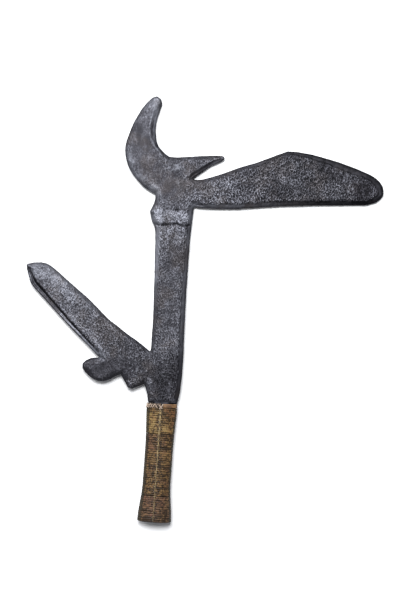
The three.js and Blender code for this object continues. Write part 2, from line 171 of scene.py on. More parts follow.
@dataclass(frozen=True)
class ForgedIron(Finish):
    """Bloomery iron, forged by hand, fire-scaled and rubbed by handling.

    Its flats keep a dense hammered and pitted skin. Pits hold dark scale and the ridges between them are rubbed
    grey, so the eye sees dark pits inside pale rings. Bevels were drawn smooth, and handled places are pale. It
    reads the blade's tone, grain and relief. The tone also carries painted shade and painted highlights, so the
    scale colour paints shade, such as on the wing's bevels, and the rubbed colour paints highlights.
    """

    scale_and_shade_colour: str = "#0d0d12"
    skin_colour: str = "#34343a"
    rubbed_and_highlight_colour: str = "#70727b"
    rust_colour: str = "#3c342e"
    metallic: float = 0.8
    mottle_mm: float = 9.0
    rust_mm: float = 20.0
    peel_mm: float = 1.35
    peel_squeeze: float = 0.65
    cell_mm: float = 1.9
    grit_mm: float = 0.8
    streak_mm: float = 3.0
    streak_length_mm: float = 18.0
    streak_waver: float = 1.2
    peel_tone: Span = (0.34, 0.66, -0.24, 0.24)
    cell_tone: Span = (0.1, 0.6, -0.16, 0.08)
    relief_tone: Span = (-0.8, 0.8, -0.1, 0.1)
    mottle_tone: Span = (0.3, 0.7, -0.06, 0.06)
    streak_tone: Span = (0.3, 0.7, -0.045, 0.045)
    dark_share: Span = (0.05, 0.5, 0.0, 1.0)
    pale_share: Span = (0.5, 1.0, 0.0, 1.0)
    rust_share: Span = (0.45, 0.65, 0.0, 0.3)
    rough_span: Span = (0.3, 0.7, 0.58, 0.44)
    least_grain: float = 0.08
    least_relief: float = 0.06
    cell_height: float = 0.3
    grit_height: float = 0.15
    bump_mm: float = 0.6

    def sockets(self, add: Adder) -> dict[str, Any]:
        """Adds the iron's nodes.

        Args:
            add: adds a node to the material.

        Returns:
            What feeds the shader.
        """
        place = add("TexCoord", output="Object")
        tone, grain, relief = (
            add("Attribute", output="Fac", attribute_name=name) for name in ("tone", "grain", "relief")
        )
        grown = add("Mapping", {"Vector": place, "Scale": (1.0, self.peel_squeeze, 1.0)})
        drawn = add("Mapping", {"Vector": place, "Scale": (1.0, self.streak_mm / self.streak_length_mm, 1.0)})
        mottle, rust, peel, grit = (
            add("TexNoise", {"Vector": where, "Scale": per_metre(size), "Detail": detail, "Roughness": NOISE_ROUGHNESS})
            for where, size, detail in (
                (place, self.mottle_mm, 4),
                (place, self.rust_mm, 3),
                (grown, self.peel_mm, 1),
                (place, self.grit_mm, 2),
            )
        )
        cells = add("TexVoronoi", {"Vector": grown, "Scale": per_metre(self.cell_mm)})
        streaked = {"Vector": drawn, "Scale": per_metre(self.streak_mm), "Distortion": self.streak_waver}
        streaks = add("TexNoise", streaked)
        peeled, pitted, raised, blotches, smears, rusted = (
            add("MapRange", [read, *span], **SOFT)
            for read, span in (
                (peel, self.peel_tone),
                (cells, self.cell_tone),
                (relief, self.relief_tone),
                (mottle, self.mottle_tone),
                (streaks, self.streak_tone),
                (rust, self.rust_share),
            )
        )
        skin = add("Math", [add("Math", [peeled, pitted]), raised])
        skin = add("Math", [skin, add("Math", [grain, self.least_grain])], operation="MULTIPLY")
        lightness = tone
        for part in (skin, blotches, smears):
            lightness = add("Math", [lightness, part])
        low = add("MapRange", [lightness, *self.dark_share])
        high = add("MapRange", [lightness, *self.pale_share])
        # Low tones, painted shade among them, reach the scale colour; high tones, painted highlights among them, reach
        # the rubbed colour.
        colour = add("Mix", {0: low, 6: linear(self.scale_and_shade_colour), 7: linear(self.skin_colour)}, **COLOURS)
        colour = add("Mix", {0: high, 6: colour, 7: linear(self.rubbed_and_highlight_colour)}, **COLOURS)
        rusted = add("Math", [rusted, low], operation="MULTIPLY")
        height = add("Math", [cells, self.cell_height, peel], operation="MULTIPLY_ADD")
        height = add("Math", [grit, self.grit_height, height], operation="MULTIPLY_ADD")
        return {
            "Base Color": add("Mix", {0: rusted, 6: colour, 7: linear(self.rust_colour)}, **COLOURS),
            "Metallic": self.metallic,
            "Roughness": add("MapRange", [mottle, *self.rough_span]),
            "Height": add("Math", [height, add("Math", [grain, self.least_relief])], operation="MULTIPLY"),
        }


@dataclass(frozen=True)
class SplitCane(Finish):
    """Split cane or palm midrib, wound damp and polished by the hand.

    Fine fibres run along the strand. The face has a satin sheen, and dirt stays dark along both its edges. The same
    edge mask also paints the dirt colour as painted shade down the grip's rounded left and right sides.
    It reads the strand's own map, in metres along and across it, its edge and tone, and how far it has aged to red.
    """

    dirt_and_shade_colour: str = "#222014"
    shade_colour: str = "#2c2013"
    light_colour: str = "#795e3b"
    ruddy_colour: str = "#664638"
    fibre_mm: float = 0.45
    fibre_length_mm: float = 7.0
    stain_mm: float = 3.6
    fleck_mm: float = 1.5
    ruddy_mm: float = 8.0
    fibre_tone: Span = (0.3, 0.7, -0.2, 0.2)
    stain_tone: Span = (0.32, 0.68, -0.42, 0.42)
    fleck_tone: Span = (0.3, 0.7, -0.42, 0.42)
    ruddy_share: Span = (0.45, 0.65, 0.0, 0.6)
    dirt_and_shade_share: Span = (0.6, 1.0, 0.0, 0.75)
    rough_span: Span = (0.3, 0.7, 0.65, 0.5)
    specular: float = 0.25
    bump_mm: float = 0.16

    def sockets(self, add: Adder) -> dict[str, Any]:
        """Adds the cane's nodes.

        Args:
            add: adds a node to the material.

        Returns:
            What feeds the shader.
        """
        place = add("TexCoord", output="Object")
        squeeze = (self.fibre_mm / self.fibre_length_mm, 1.0, 1.0)
        laid = add("Mapping", {"Vector": add("TexCoord", output="UV"), "Scale": squeeze})
        edge, tone, aged = (add("Attribute", output="Fac", attribute_name=name) for name in ("edge", "tone", "aged"))
        fibres, stains, flecks, ruddy = (
            add("TexNoise", {"Vector": where, "Scale": per_metre(size), "Detail": detail, "Roughness": NOISE_ROUGHNESS})
            for where, size, detail in (
                (laid, self.fibre_mm, 4),
                (place, self.stain_mm, 4),
                (place, self.fleck_mm, 1),
                (place, self.ruddy_mm, 3),
            )
        )
        lines, stained, flecked, reddened, soiled = (
            add("MapRange", [read, *span], **SOFT)
            for read, span in (
                (fibres, self.fibre_tone),
                (stains, self.stain_tone),
                (flecks, self.fleck_tone),
                (ruddy, self.ruddy_share),
                (edge, self.dirt_and_shade_share),
            )
        )
        lightness = add("Math", [add("Math", [lines, stained]), flecked])
        lightness = add("Math", [lightness, tone], use_clamp=True)
        reddened = add("Math", [reddened, aged], use_clamp=True)
        light = add("Mix", {0: reddened, 6: linear(self.light_colour), 7: linear(self.ruddy_colour)}, **COLOURS)
        colour = add("Mix", {0: lightness, 6: linear(self.shade_colour), 7: light}, **COLOURS)
        return {
            # The dirt colour goes along the strands' edges as dirt, and down the grip's rounded sides as painted shade.
            "Base Color": add("Mix", {0: soiled, 6: colour, 7: linear(self.dirt_and_shade_colour)}, **COLOURS),
            "Roughness": add("MapRange", [fibres, *self.rough_span]),
            "Specular IOR Level": self.specular,
            "Height": fibres,
        }


@dataclass(frozen=True)
class TwistedFibre(Finish):
    """Pale bast cord, twisted by hand on the thigh: dull, dry and darker between its plies.

    It reads the cord's own map, in metres along and across it.
    """

    groove_colour: str = "#4f3e25"
    fibre_colour: str = "#aa9366"
    fibre_mm: float = 0.3
    fibre_length_mm: float = 3.0
    soil_mm: float = 4.0
    fibre_tone: Span = (0.3, 0.65, 0.1, 0.7)
    soil_tone: Span = (0.35, 0.65, -0.45, 0.3)
    roughness: float = 0.85
    sheen: float = 0.25
    bump_mm: float = 0.12

    def sockets(self, add: Adder) -> dict[str, Any]:
        """Adds the fibre's nodes.

        Args:
            add: adds a node to the material.

        Returns:
            What feeds the shader.
        """
        place = add("TexCoord", output="Object")
        squeeze = (self.fibre_mm / self.fibre_length_mm, 1.0, 1.0)
        laid = add("Mapping", {"Vector": add("TexCoord", output="UV"), "Scale": squeeze})
        fibres, soil = (
            add("TexNoise", {"Vector": where, "Scale": per_metre(size), "Detail": 3, "Roughness": NOISE_ROUGHNESS})
            for where, size in ((laid, self.fibre_mm), (place, self.soil_mm))
        )
        lines = add("MapRange", [fibres, *self.fibre_tone], **SOFT)
        soiled = add("MapRange", [soil, *self.soil_tone], **SOFT)
        paleness = add("Math", [lines, soiled], use_clamp=True)
        ends = {0: paleness, 6: linear(self.groove_colour), 7: linear(self.fibre_colour)}
        return {
            "Base Color": add("Mix", ends, **COLOURS),
            "Roughness": self.roughness,
            "Sheen Weight": self.sheen,
            "Height": fibres,
        }


@dataclass(frozen=True)
class TannedHide(Finish):
    """Tanned hide, shrunk on wet: smooth and faintly glossy, with a fine pebbled grain and darker creases.

    It reads the band's soil attribute, which makes the band darker on its left part, where the lacing lies over it.
    """

    crease_colour: str = "#3e2a1c"
    hide_colour: str = "#82603d"
    soil_colour: str = "#1d1712"
    pebble_mm: float = 0.8
    stain_mm: float = 5.0
    stain_tone: Span = (0.3, 0.7, 0.3, 1.1)
    pebble_tone: Span = (0.4, 0.9, 0.0, -0.25)
    rough_span: Span = (0.3, 0.7, 0.65, 0.5)
    bump_mm: float = 0.1
    hollowed: bool = True

    def sockets(self, add: Adder) -> dict[str, Any]:
        """Adds the hide's nodes.

        Args:
            add: adds a node to the material.

        Returns:
            What feeds the shader.
        """
        place = add("TexCoord", output="Object")
        pebbles = add("TexVoronoi", {"Vector": place, "Scale": per_metre(self.pebble_mm)})
        stains = add("TexNoise", {"Vector": place, "Scale": per_metre(self.stain_mm), "Detail": 4})
        soil = add("Attribute", output="Fac", attribute_name="soil")
        patches = add("MapRange", [stains, *self.stain_tone], **SOFT)
        dimples = add("MapRange", [pebbles, *self.pebble_tone], **SOFT)
        paleness = add("Math", [patches, dimples], use_clamp=True)
        colour = add("Mix", {0: paleness, 6: linear(self.crease_colour), 7: linear(self.hide_colour)}, **COLOURS)
        return {
            "Base Color": add("Mix", {0: soil, 6: colour, 7: linear(self.soil_colour)}, **COLOURS),
            "Roughness": add("MapRange", [stains, *self.rough_span]),
            "Height": pebbles,
        }


@dataclass(frozen=True)
class DarkWood(Finish):
    """Close-grained wood, smoked and oiled: nearly black between the strands, brown on its cut end."""

    pore_colour: str = "#120e09"
    wood_colour: str = "#33271a"
    grain_mm: float = 0.9
    grain_length_mm: float = 22.0
    grain_tone: Span = (0.35, 0.65, 0.0, 1.0)
    rough_span: Span = (0.3, 0.7, 0.8, 0.7)
    bump_mm: float = 0.15

    def sockets(self, add: Adder) -> dict[str, Any]:
        """Adds the wood's nodes. Its grain runs along the grip.

        Args:
            add: adds a node to the material.

        Returns:
            What feeds the shader.
        """
        squeeze = (1.0, self.grain_mm / self.grain_length_mm, 1.0)
        laid = add("Mapping", {"Vector": add("TexCoord", output="Object"), "Scale": squeeze})
        grain = add("TexNoise", {"Vector": laid, "Scale": per_metre(self.grain_mm), "Detail": 3})
        share = add("MapRange", [grain, *self.grain_tone], **SOFT)
        ends = {0: share, 6: linear(self.pore_colour), 7: linear(self.wood_colour)}
        return {
            "Base Color": add("Mix", ends, **COLOURS),
            "Roughness": add("MapRange", [grain, *self.rough_span]),
            "Height": grain,
        }


@dataclass(frozen=True)
class PaleBoard(Finish):
    """Board with a matt white face, so bright under the softbox that only close shadows show on it."""

    colour: str = "#f1f2f4"
    roughness: float = 0.9

    def sockets(self, add: Adder) -> dict[str, Any]:
        """Gives the board's colour, and adds no node."""
        return {"Base Color": linear(self.colour), "Roughness": self.roughness, "Specular IOR Level": 0.0}


@dataclass(frozen=True)
class Lay:
    """How the knife lies: turns places in the knife's own millimetres to the row's metres, and back."""

    turn: Array
    seat_m: Array

    @classmethod
    def from_record(cls, record: dict[str, Any]) -> "Lay":
        """Works the lay out from the mount on the flat of the blade's front.

        Args:
            record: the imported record.

        Returns:
            The lay.
        """
        mount_at = np.array([0.0, 100.0, 2.3])
        mount = next(m for m in record["mounts"] if m["name"] == "blade_front")
        turn = np.array(Vector((0, 0, 1)).rotation_difference(Vector(mount["axis"])).to_matrix())
        return cls(turn, np.array(mount["pos_m"]) - turn @ (mount_at * MM))

    def to_row(self, places: Array) -> Array:
        """Turns places in the knife's own frame to the row's, none of them below the floor.

        Args:
            places: rows of knife millimetres.

        Returns:
            Rows of metres.
        """
        places_m = places * MM @ self.turn.T + self.seat_m
        places_m[..., 2] = np.maximum(places_m[..., 2], 0.0)
        return places_m

    def to_knife(self, places_m: Array) -> Array:
        """Turns rows of metres to rows of knife millimetres."""
        return (places_m - self.seat_m) @ self.turn / MM


def only(obj: Object) -> None:
    """Makes an object the one that is selected and active.

    Args:
        obj: the object.
    """
    bpy.ops.object.select_all(action="DESELECT")
    obj.select_set(True)
    bpy.context.view_layer.objects.active = obj


def apply_modifier(obj: Object, kind: str, **settings: Any) -> None:
    """Gives an object a modifier and applies it.

    Args:
        obj: the object.
        kind: the modifier's type.
        **settings: the modifier's settings.
    """
    only(obj)
    modifier = obj.modifiers.new(kind.lower(), kind)
    for name, value in settings.items():
        setattr(modifier, name, value)
    bpy.ops.object.modifier_apply(modifier=modifier.name)


def rows_of(mesh: Mesh, kind: str = "co") -> Array:
    """Gives the places of a mesh's vertices, or their ways out of the surface.

    Args:
        mesh: the mesh.
        kind: co for places or normal for ways.

    Returns:
        A row of metres, or of shares, for each vertex.
    """
    flat = np.empty(len(mesh.vertices) * 3, np.float32)
    mesh.vertices.foreach_get(kind, flat)
    return flat.reshape(-1, 3).astype(float)


def move_to(mesh: Mesh, places_m: Array) -> None:
    """Moves a mesh's vertices to rows of metres."""
    mesh.vertices.foreach_set("co", places_m.astype(np.float32).ravel())
    mesh.update()


def mark(mesh: Mesh, name: str, values: Array) -> None:
    """Keeps a number for each vertex, which the piece's material reads."""
    attribute = mesh.attributes.new(name, "FLOAT", "POINT")
    attribute.data.foreach_set("value", values.astype(np.float32))


def tree_of(places: list[Any]) -> kdtree.KDTree:
    """Makes a search tree of places.

    Args:
        places: the places.

    Returns:
        The tree, which finds each by its number in the list.
    """
    tree = kdtree.KDTree(len(places))
    for number, place in enumerate(places):
        tree.insert(place, number)
    tree.balance()
    return tree


def smoothstep(low: float, high: float, values: Array) -> Array:
    """Rises smoothly from 0 at low to 1 at high."""
    share = np.clip((values - low) / (high - low), 0, 1)
    return share * share * (3 - 2 * share)


def lumps(places: Array, size: float, seed: float) -> Array:
    """Gives a seeded noise from about -1 to 1 at rows of millimetres, with lumps of that size in millimetres."""
    return np.array([noise.fractal(Vector(p), 1.0, 2.0, NOISE_LAYERS) for p in places / size + seed])


def along_line(distance: Array, seed: float) -> Array:
    """Gives rows of places on a straight line, where a noise along a strand or cord is read."""
    return np.stack([distance, np.zeros_like(distance), np.full_like(distance, seed)], axis=-1)


def flat_section(sides: int) -> tuple[Array, Array]:
    """Gives the section of a strip with flats and round corners.

    Args:
        sides: how many points it has.

    Returns:
        How far across, from -1 to 1, and how far out, from 0 to 1, each point is.
    """
    angles = 2 * math.pi * (np.arange(sides) + 0.5) / sides
    across, out = (np.sign(wave) * np.abs(wave) ** 0.5 for wave in (np.cos(angles), np.sin(angles)))
    return across, (out + 1) / 2


def finish_piece(obj: Object, finish: Material, slot: str, *nodes: str) -> Object:
    """Gives a piece its material and its body, and hides the nodes that it stands for.

    Args:
        obj: the piece.
        finish: its material.
        slot: the record's material slot; not used.
        *nodes: the nodes that it stands for.

    Returns:
        The piece.
    """
    obj.data.materials.clear()
    obj.data.materials.append(finish)
    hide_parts(*nodes)
    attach(obj, BODY)
    logger.info("%s: %d faces", obj.name, len(obj.data.polygons))
    return obj


@dataclass(frozen=True)
class Patch:
    """A soft-edged oval on the front of the knife, where something is stronger or weaker than elsewhere."""

    x: float
    y: float
    along: float
    across: float
    strength: float
    turn_deg: float = 0.0

    def share(self, knife: Array) -> Array:
        """Gives how much of the patch each place has.

        Args:
            knife: rows of knife millimetres.

        Returns:
            A number from 0 to 1 for each row.
        """
        turn = math.radians(self.turn_deg)
        dx, dy = knife[:, 0] - self.x, knife[:, 1] - self.y
        along = (dx * math.cos(turn) + dy * math.sin(turn)) / self.along
        across = (dy * math.cos(turn) - dx * math.sin(turn)) / self.across
        return np.exp(-(along**2 + across**2))


def ovals(*rows: tuple[float, ...]) -> tuple[Patch, ...]:
    """Makes a patch of each row: its place, its two half sizes, its strength and the turn of a turned one."""
    return tuple(Patch(*row) for row in rows)


def patched(patches: Iterable[Patch], knife: Array) -> Array:
    """Gives the sum of the patches' strengths at each row of knife millimetres."""
    return sum((patch.strength * patch.share(knife) for patch in patches), np.zeros(len(knife)))


@dataclass(frozen=True)
class Stroke:
    """A crack, lap, edge or scratch in the blade's front along a chain of points, broken and ragged."""

    points: tuple[tuple[float, float], ...]
    width: float
    depth: float
    # How much paler the line is; on bevel lips and in the arm's fold its pale and dark lines are painted highlights and
    # painted shade.
    tone: float
    ragged: float = 0.6
    broken: float = 1.0
    core: float = 0.2

    def share(self, knife: Array, wander: Array, gaps: Array) -> Array:
        """Gives how much of the stroke each place has.

        Args:
            knife: rows of knife millimetres.
            wander: a number from about -1 to 1 for each row, by which the stroke strays.
            gaps: how much of the stroke is missing at each row, from 0 to 1.

        Returns:
            A number from 0 outside it to 1 at its middle for each row.
        """
        flat = knife[:, :2]
        nearest = np.full(len(flat), np.inf)
        for start, end in zip(self.points, self.points[1:]):
            a, b = np.array(start), np.array(end)
            way = b - a
            share = np.clip((flat - a) @ way / (way @ way), 0, 1)
            nearest = np.minimum(nearest, np.linalg.norm(flat - a - share[:, None] * way, axis=1))
        inside = 1 - smoothstep(self.core * self.width, self.width, nearest + self.ragged * wander)
        return inside * (1 - self.broken * gaps)


@dataclass
class Blade:
    """The forging: shaft, crescent, spur, wing, lower arm, lobes and the tang inside the grip."""

    lay: Lay
    voxel: float = 0.82
    smooth_rounds: int = 2
    smooth_share: float = 0.5
    merge_gap: float = 0.01
    level_slack: float = 0.02
    rim_half_height: float = 0.35
    half_edge: float = 0.65
    half_thickness: float = 2.3
    bevel: float = 6.5
    slot_floor: float = -0.6
    filled_floor: float = 0.3
    fold_lowest: float = -1.0
    fold_inset: float = 1.2
    fold_fade: Fade = (0.7, 1.7)
    tang_top: float = 0.0
    head_fade: float = 3.0
    rim_overlap: float = 2.0
    arm_zone: tuple[float, float] = (-62.0, 38.0)
    smooth_margin: float = 1.8
    margin_fade: Fade = (-1.2, 1.4)
    margin_wander: float = 1.6
    wander_mm: float = 6.0
    hammer_mm: float = 17.0
    hammer_depth: float = 0.4
    drawn_mm: float = 6.0
    drawn_depth: float = 0.2
    peel_mm: float = 1.3
    peel_depth: float = 0.45
    relief_share: float = 0.35
    weight_levels: int = 10
    collar_low: float = 178.0
    collar_high: float = 192.0
    collar_rise: float = 0.3
    collar_sides: tuple[float, float] = (-27.0, 22.0)
    collar_ragged: float = 0.8
    collar_ragged_mm: float = 5.0
    collar_low_fade: Fade = (0.0, 1.5)
    collar_high_fade: Fade = (-3.0, 1.0)
    cut_fade: Fade = (0.8, 1.6)
    stroke_fade: Fade = (-0.6, 0.0)
    stroke_wander_mm: float = 2.5
    stroke_gap_mm: float = 4.5
    stroke_gap_fade: Fade = (-0.25, 0.1)
    base_tone: float = 0.52
    patch_fade: Fade = (-0.5, 1.0)
    patch_wander: float = 0.6
    # Painted shade on the bevels, as shares of tone: the base share is below nought, so most bevels are painted a
    # little paler; the far share paints the wing's bevels, which face away from the light, darker.
    bevel_painted_shade: float = -0.06
    bevel_inset: float = 1.5
    bevel_fade: Fade = (0.0, 2.0)
    far_bevel_painted_shade: float = 0.28
    far_fade: Fade = (60.0, 150.0)
    # Painted shade that darkens the thin outer edge a little.
    rim_painted_shade: float = 0.02
    rim_fade: Fade = (0.4, 1.7)
    rim_wander: float = 0.5
    # Where the bevel is wider, by how many millimetres.
    margins: tuple[Patch, ...] = ovals(
        (112, 203, 105, 9, 4.0, 3), (170, 247, 62, 9, 5.0, -19), (206, 222, 12, 22, 3.5), (66, 240, 52, 7, 1.2, 21),
        (-16, 120, 5, 80, 2.2), (17, 100, 6, 95, 4.0), (-26, 278, 6, 26, 3.0, 6), (28, 236, 20, 5, 3.0, 36),
    )
    # Where the hammered skin is finer, as on the crescent.
    smooth_zones: tuple[Patch, ...] = ovals(
        (-38, 262, 26, 58, 0.97), (-8, 215, 26, 20, 0.75), (16, 236, 26, 12, 0.5), (-100, 92, 60, 20, 0.35, 138),
        (-128, 122, 20, 14, 0.35), (0, 110, 24, 80, 0.55), (-64, 28, 26, 16, 0.68), (-48, 46, 20, 16, 0.25),
        (-8, 14, 30, 22, 0.3),
    )
    # Rubbed edges, high spots and handled places, and the darker hollows where scale stays. Some are painted light
    # and shade: the pale strips along bevels and at corners are painted highlights, and the broad dark oval over the
    # wing is painted shade, on the side away from the light.
    patches: tuple[Patch, ...] = ovals(
        (-36, 258, 26, 48, -0.03), (-28.5, 300, 9, 8, 0.2), (-20, 254, 10, 3, -0.08, -45),
        (-37, 223, 9, 3.6, 0.42, -38), (-23, 212.5, 4.5, 4.5, 0.7), (-48, 240, 3.4, 11, 0.35, 20),
        (-26, 278, 2.0, 20, 0.36, -4), (-19, 255, 2.2, 9, 0.3, 45), (38, 243.9, 10, 1.5, 0.36, 37),
        (34, 219, 14, 10, 0.1), (-6, 213, 24, 16, -0.02), (-20, 187, 8, 7, 0.16), (2, 186.5, 24, 6, 0.38),
        (2, 168, 18, 9, 0.12), (-15.2, 150, 2.6, 40, 0.62), (-4, 110, 18, 70, -0.05), (-132, 125, 16, 9, 0.2, 140),
        (-128, 107, 16, 3.5, -0.2, 138), (-110, 114, 17, 7, 0.27, 138), (-91, 101, 12, 5, 0.08, 138),
        (-104, 96, 38, 16, 0.1, 138), (-56, 74, 10, 4, 0.16, 140), (-63, 43, 6, 5, 0.26),
        (-46, 46, 26, 16, -0.14, 145), (40, 211, 14, 9, 0.14), (86, 229, 12, 5, 0.06), (110, 228, 12, 5, 0.08),
        (132, 230, 10, 5, 0.08), (157, 225, 12, 6, 0.1), (62, 237, 18, 5, 0.05, 20), (120, 230, 85, 34, -0.23),
        (170, 232, 40, 26, -0.06), (-66, 27, 22, 14, -0.15), (-2, 16, 28, 20, -0.32), (-12, 10, 4, 7, 0.12),
        (15, 100, 5, 80, 0.06), (77, 204.5, 64, 4, 0.26, 4.7), (110, 231, 14, 4, 0.22, -18),
        (19.5, 200.5, 4, 3, 0.3), (-120, 122, 7, 4, 0.12, 138), (-137, 119, 5, 7, 0.25), (-18.5, 181, 5, 3.5, 0.5),
        (6, 163.5, 4, 4, 0.35), (-18.5, 209, 3, 3, 0.5), (-15.5, 197, 3, 3, -0.3), (-3, 204, 4, 3, -0.25),
        (136, 246, 9, 4, -0.25, -18), (60, 225, 14, 3, 0.2, 12), (-70, 55, 11, 4, 0.35, 138),
        (-96, 77, 10, 4, 0.3, 138), (-116, 96, 9, 2.2, 0.2, 138), (0, 236, 6, 3, 0.35), (-14, 17, 3.5, 8, 0.35),
        (-27, 19, 6, 4, 0.3), (186, 220, 8, 14, -0.3), (11, 40, 6, 9, -0.3), (-27, 288, 4, 9, 0.25),
    )
    # The cracks below the collar and by the spur, the lips of the bevels, and the scratches and laps of the arm.
    # The pale lines on the bevel lips and on the fold's inner lip are painted highlights, and the dark lines along the
    # bevel edges and under the fold's lip are painted shade.
    strokes: tuple[Stroke, ...] = (
        Stroke(((8.4, 225.5), (6.4, 218.7), (8.5, 212.1), (14.1, 204.2), (18.6, 199.5)), 1.3, 0.1, -0.16),
        Stroke(((11, 224), (9.2, 218.7), (11, 212.6), (16.5, 205.5)), 1.2, -0.05, 0.14),
        Stroke(((-1.6, 238.2), (-1.8, 228.1), (1.4, 218.3), (6.9, 210.4)), 1.6, 0.0, 0.13),
        Stroke(
            ((-20, 177.8), (-14, 176.8), (-9, 178), (-4, 177.2), (2, 179.4), (7, 177.6), (15, 178.8)), 1.7, 0.5, -0.3
        ),
        Stroke(((0.5, 193.2), (3.5, 193)), 1.8, 0.5, -0.25, 0.6, 0.0),
        Stroke(((15.5, 207), (17.5, 202.8), (20.3, 199.6), (27, 199.8)), 1.3, 0.4, -0.15),
        Stroke(((8, 223.5), (16, 229.6), (25, 236.5), (35, 243.2), (42, 247)), 1.3, 0.3, -0.08, 0.4, 0.4),
        Stroke(((6, 225.5), (14, 231.5), (23, 238.5), (33, 245)), 1.0, -0.1, 0.24, 0.4, 0.5),
        Stroke(
            ((-27, 295), (-29.8, 283), (-31.6, 272.8), (-29.6, 263), (-24.5, 255), (-17, 247)),
            1.3, -0.1, 0.34, 0.4, 0.5,
        ),
        Stroke(((-24.5, 294), (-27.2, 283), (-28.6, 272.8), (-27, 263), (-22, 255)), 1.1, 0.1, -0.24, 0.4, 0.5),
        Stroke(
            ((50, 202.5), (71, 203.5), (91, 205), (110, 208), (131, 209.5), (154, 211.5), (185, 214)), 1.6, 0.1, -0.14
        ),
        Stroke(((84, 208), (104, 210.5), (126, 212.5)), 1.0, -0.1, 0.14, 0.5, 0.7),
        Stroke(
            ((-142.4, 125), (-137, 116.5), (-129, 107.6), (-118, 96), (-109, 87), (-101, 79), (-92, 70)),
            1.8, 0, -0.35, 0.8, 0.2,
        ),
        Stroke(((-97, 76), (-86.4, 64.8), (-76, 55.6), (-71.5, 51.5)), 1.0, 0, -0.5, 0.6, 0.6),
        Stroke(
            ((-139, 122), (-131, 112), (-122, 102.5), (-113, 93), (-104, 85), (-96, 76.5), (-86, 67)), 1.1, -0.1, 0.2
        ),
        Stroke(((-107, 82), (-97, 72.5), (-86.5, 62.6), (-76, 52.6), (-67, 44.5)), 1.5, 0, 0.55, 0.3, 0.5),
    )

    def build(self, node: Object, finish: Material) -> Object:
        """Models and dresses the blade.

        Args:
            node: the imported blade.
            finish: its material.

        Returns:
            The forged blade.
        """
        forged = self._copy(node)
        apply_modifier(forged, "REMESH", mode="VOXEL", voxel_size=self.voxel * MM)
        apply_modifier(forged, "SMOOTH", factor=self.smooth_share, iterations=self.smooth_rounds)
        start = rows_of(forged.data)
        knife = self.lay.to_knife(start)
        inset = self._inset(knife)
        margin = patched(self.margins, knife)
        wander = lumps(knife, self.wander_mm, seed=3.0)
        head = smoothstep(self.tang_top, self.tang_top + self.head_fade, knife[:, 1])
        grain = self._grain(knife, inset, margin, wander) * head * (1 - self._fold(knife, inset))
        self._hammer(forged, {"head": head, "drawn": (1 - grain) * head, "hammered": grain})
        relief = self._relief(forged, start) * grain
        marked = self._cut_marks(forged, knife)
        mark(forged.data, "tone", self._tone(knife, inset, margin, wander) + marked)
        mark(forged.data, "grain", grain)
        mark(forged.data, "relief", relief)
        only(forged)
        bpy.ops.object.shade_smooth()
        return finish_piece(forged, finish, "forged_iron", "blade")

    def _copy(self, node: Object) -> Object:
        """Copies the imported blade, merges its loose triangles and raises the floor of its fold.

        Args:
            node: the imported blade.

        Returns:
            The copy.
        """
        forged = bpy.data.objects.new("forged_blade", node.data.copy())
        bpy.context.scene.collection.objects.link(forged)
        knife = self.lay.to_knife(rows_of(forged.data))
        knife[np.abs(knife[:, 2] - self.slot_floor) < self.level_slack, 2] = self.filled_floor
        move_to(forged.data, self.lay.to_row(knife))
        only(forged)
        bpy.ops.object.mode_set(mode="EDIT")
        bpy.ops.mesh.select_all(action="SELECT")
        bpy.ops.mesh.remove_doubles(threshold=self.merge_gap * MM)
        bpy.ops.object.mode_set(mode="OBJECT")
        return forged

    def _on_arm(self, knife: Array) -> Array:
        """Tells which places are on the arm, whose fold has walls that aren't the blade's edge."""
        return (knife[:, 0] < self.arm_zone[0]) & (knife[:, 1] > self.arm_zone[1])

    def _inset(self, knife: Array) -> Array:
        """Measures how far in from the blade's thin edge each place lies, as seen from above.

        Args:
            knife: rows of knife millimetres.

        Returns:
            The distance for each row.
        """
        on_rim = (np.abs(knife[:, 2]) < self.rim_half_height) & (knife[:, 1] > self.tang_top - self.rim_overlap)
        back_edge = (np.abs(knife[:, 2] + self.half_edge) < self.rim_half_height) & self._on_arm(knife)
        rim = knife[np.where(self._on_arm(knife), back_edge, on_rim)]
        tree = tree_of([(x, y, 0) for x, y, _ in rim])
        return np.array([tree.find((x, y, 0))[2] for x, y, _ in knife])

    def _fold(self, knife: Array, inset: Array) -> Array:
        """Gives how deep in the arm's fold each place lies.

        Args:
            knife: rows of knife millimetres.
            inset: how far in from the edge each is.

        Returns:
            A number from 0 to 1 for each row.
        """
        share = np.clip(inset / self.bevel, 0, 1)
        level = self.half_edge + (self.half_thickness - self.half_edge) * np.sin(math.pi / 2 * share)
        inside = self._on_arm(knife) & (knife[:, 2] > self.fold_lowest) & (inset > self.fold_inset)
        return smoothstep(*self.fold_fade, level - knife[:, 2]) * inside

    def _grain(self, knife: Array, inset: Array, margin: Array, wander: Array) -> Array:
        """Gives how coarse the hammered skin is: none on the bevels, less on the crescent.

        Args:
            knife: rows of knife millimetres.
            inset: how far in from the edge each is.
            margin: how much wider the bevel is there than elsewhere.
            wander: how far the margins stray at each, from about -1 to 1.

        Returns:
            A number from 0 to 1 for each row.
        """
        inner = inset + self.margin_wander * wander - (self.smooth_margin + margin)
        grain = smoothstep(*self.margin_fade, inner)
        for zone in self.smooth_zones:
            grain *= 1 - zone.strength * zone.share(knife)
        return grain

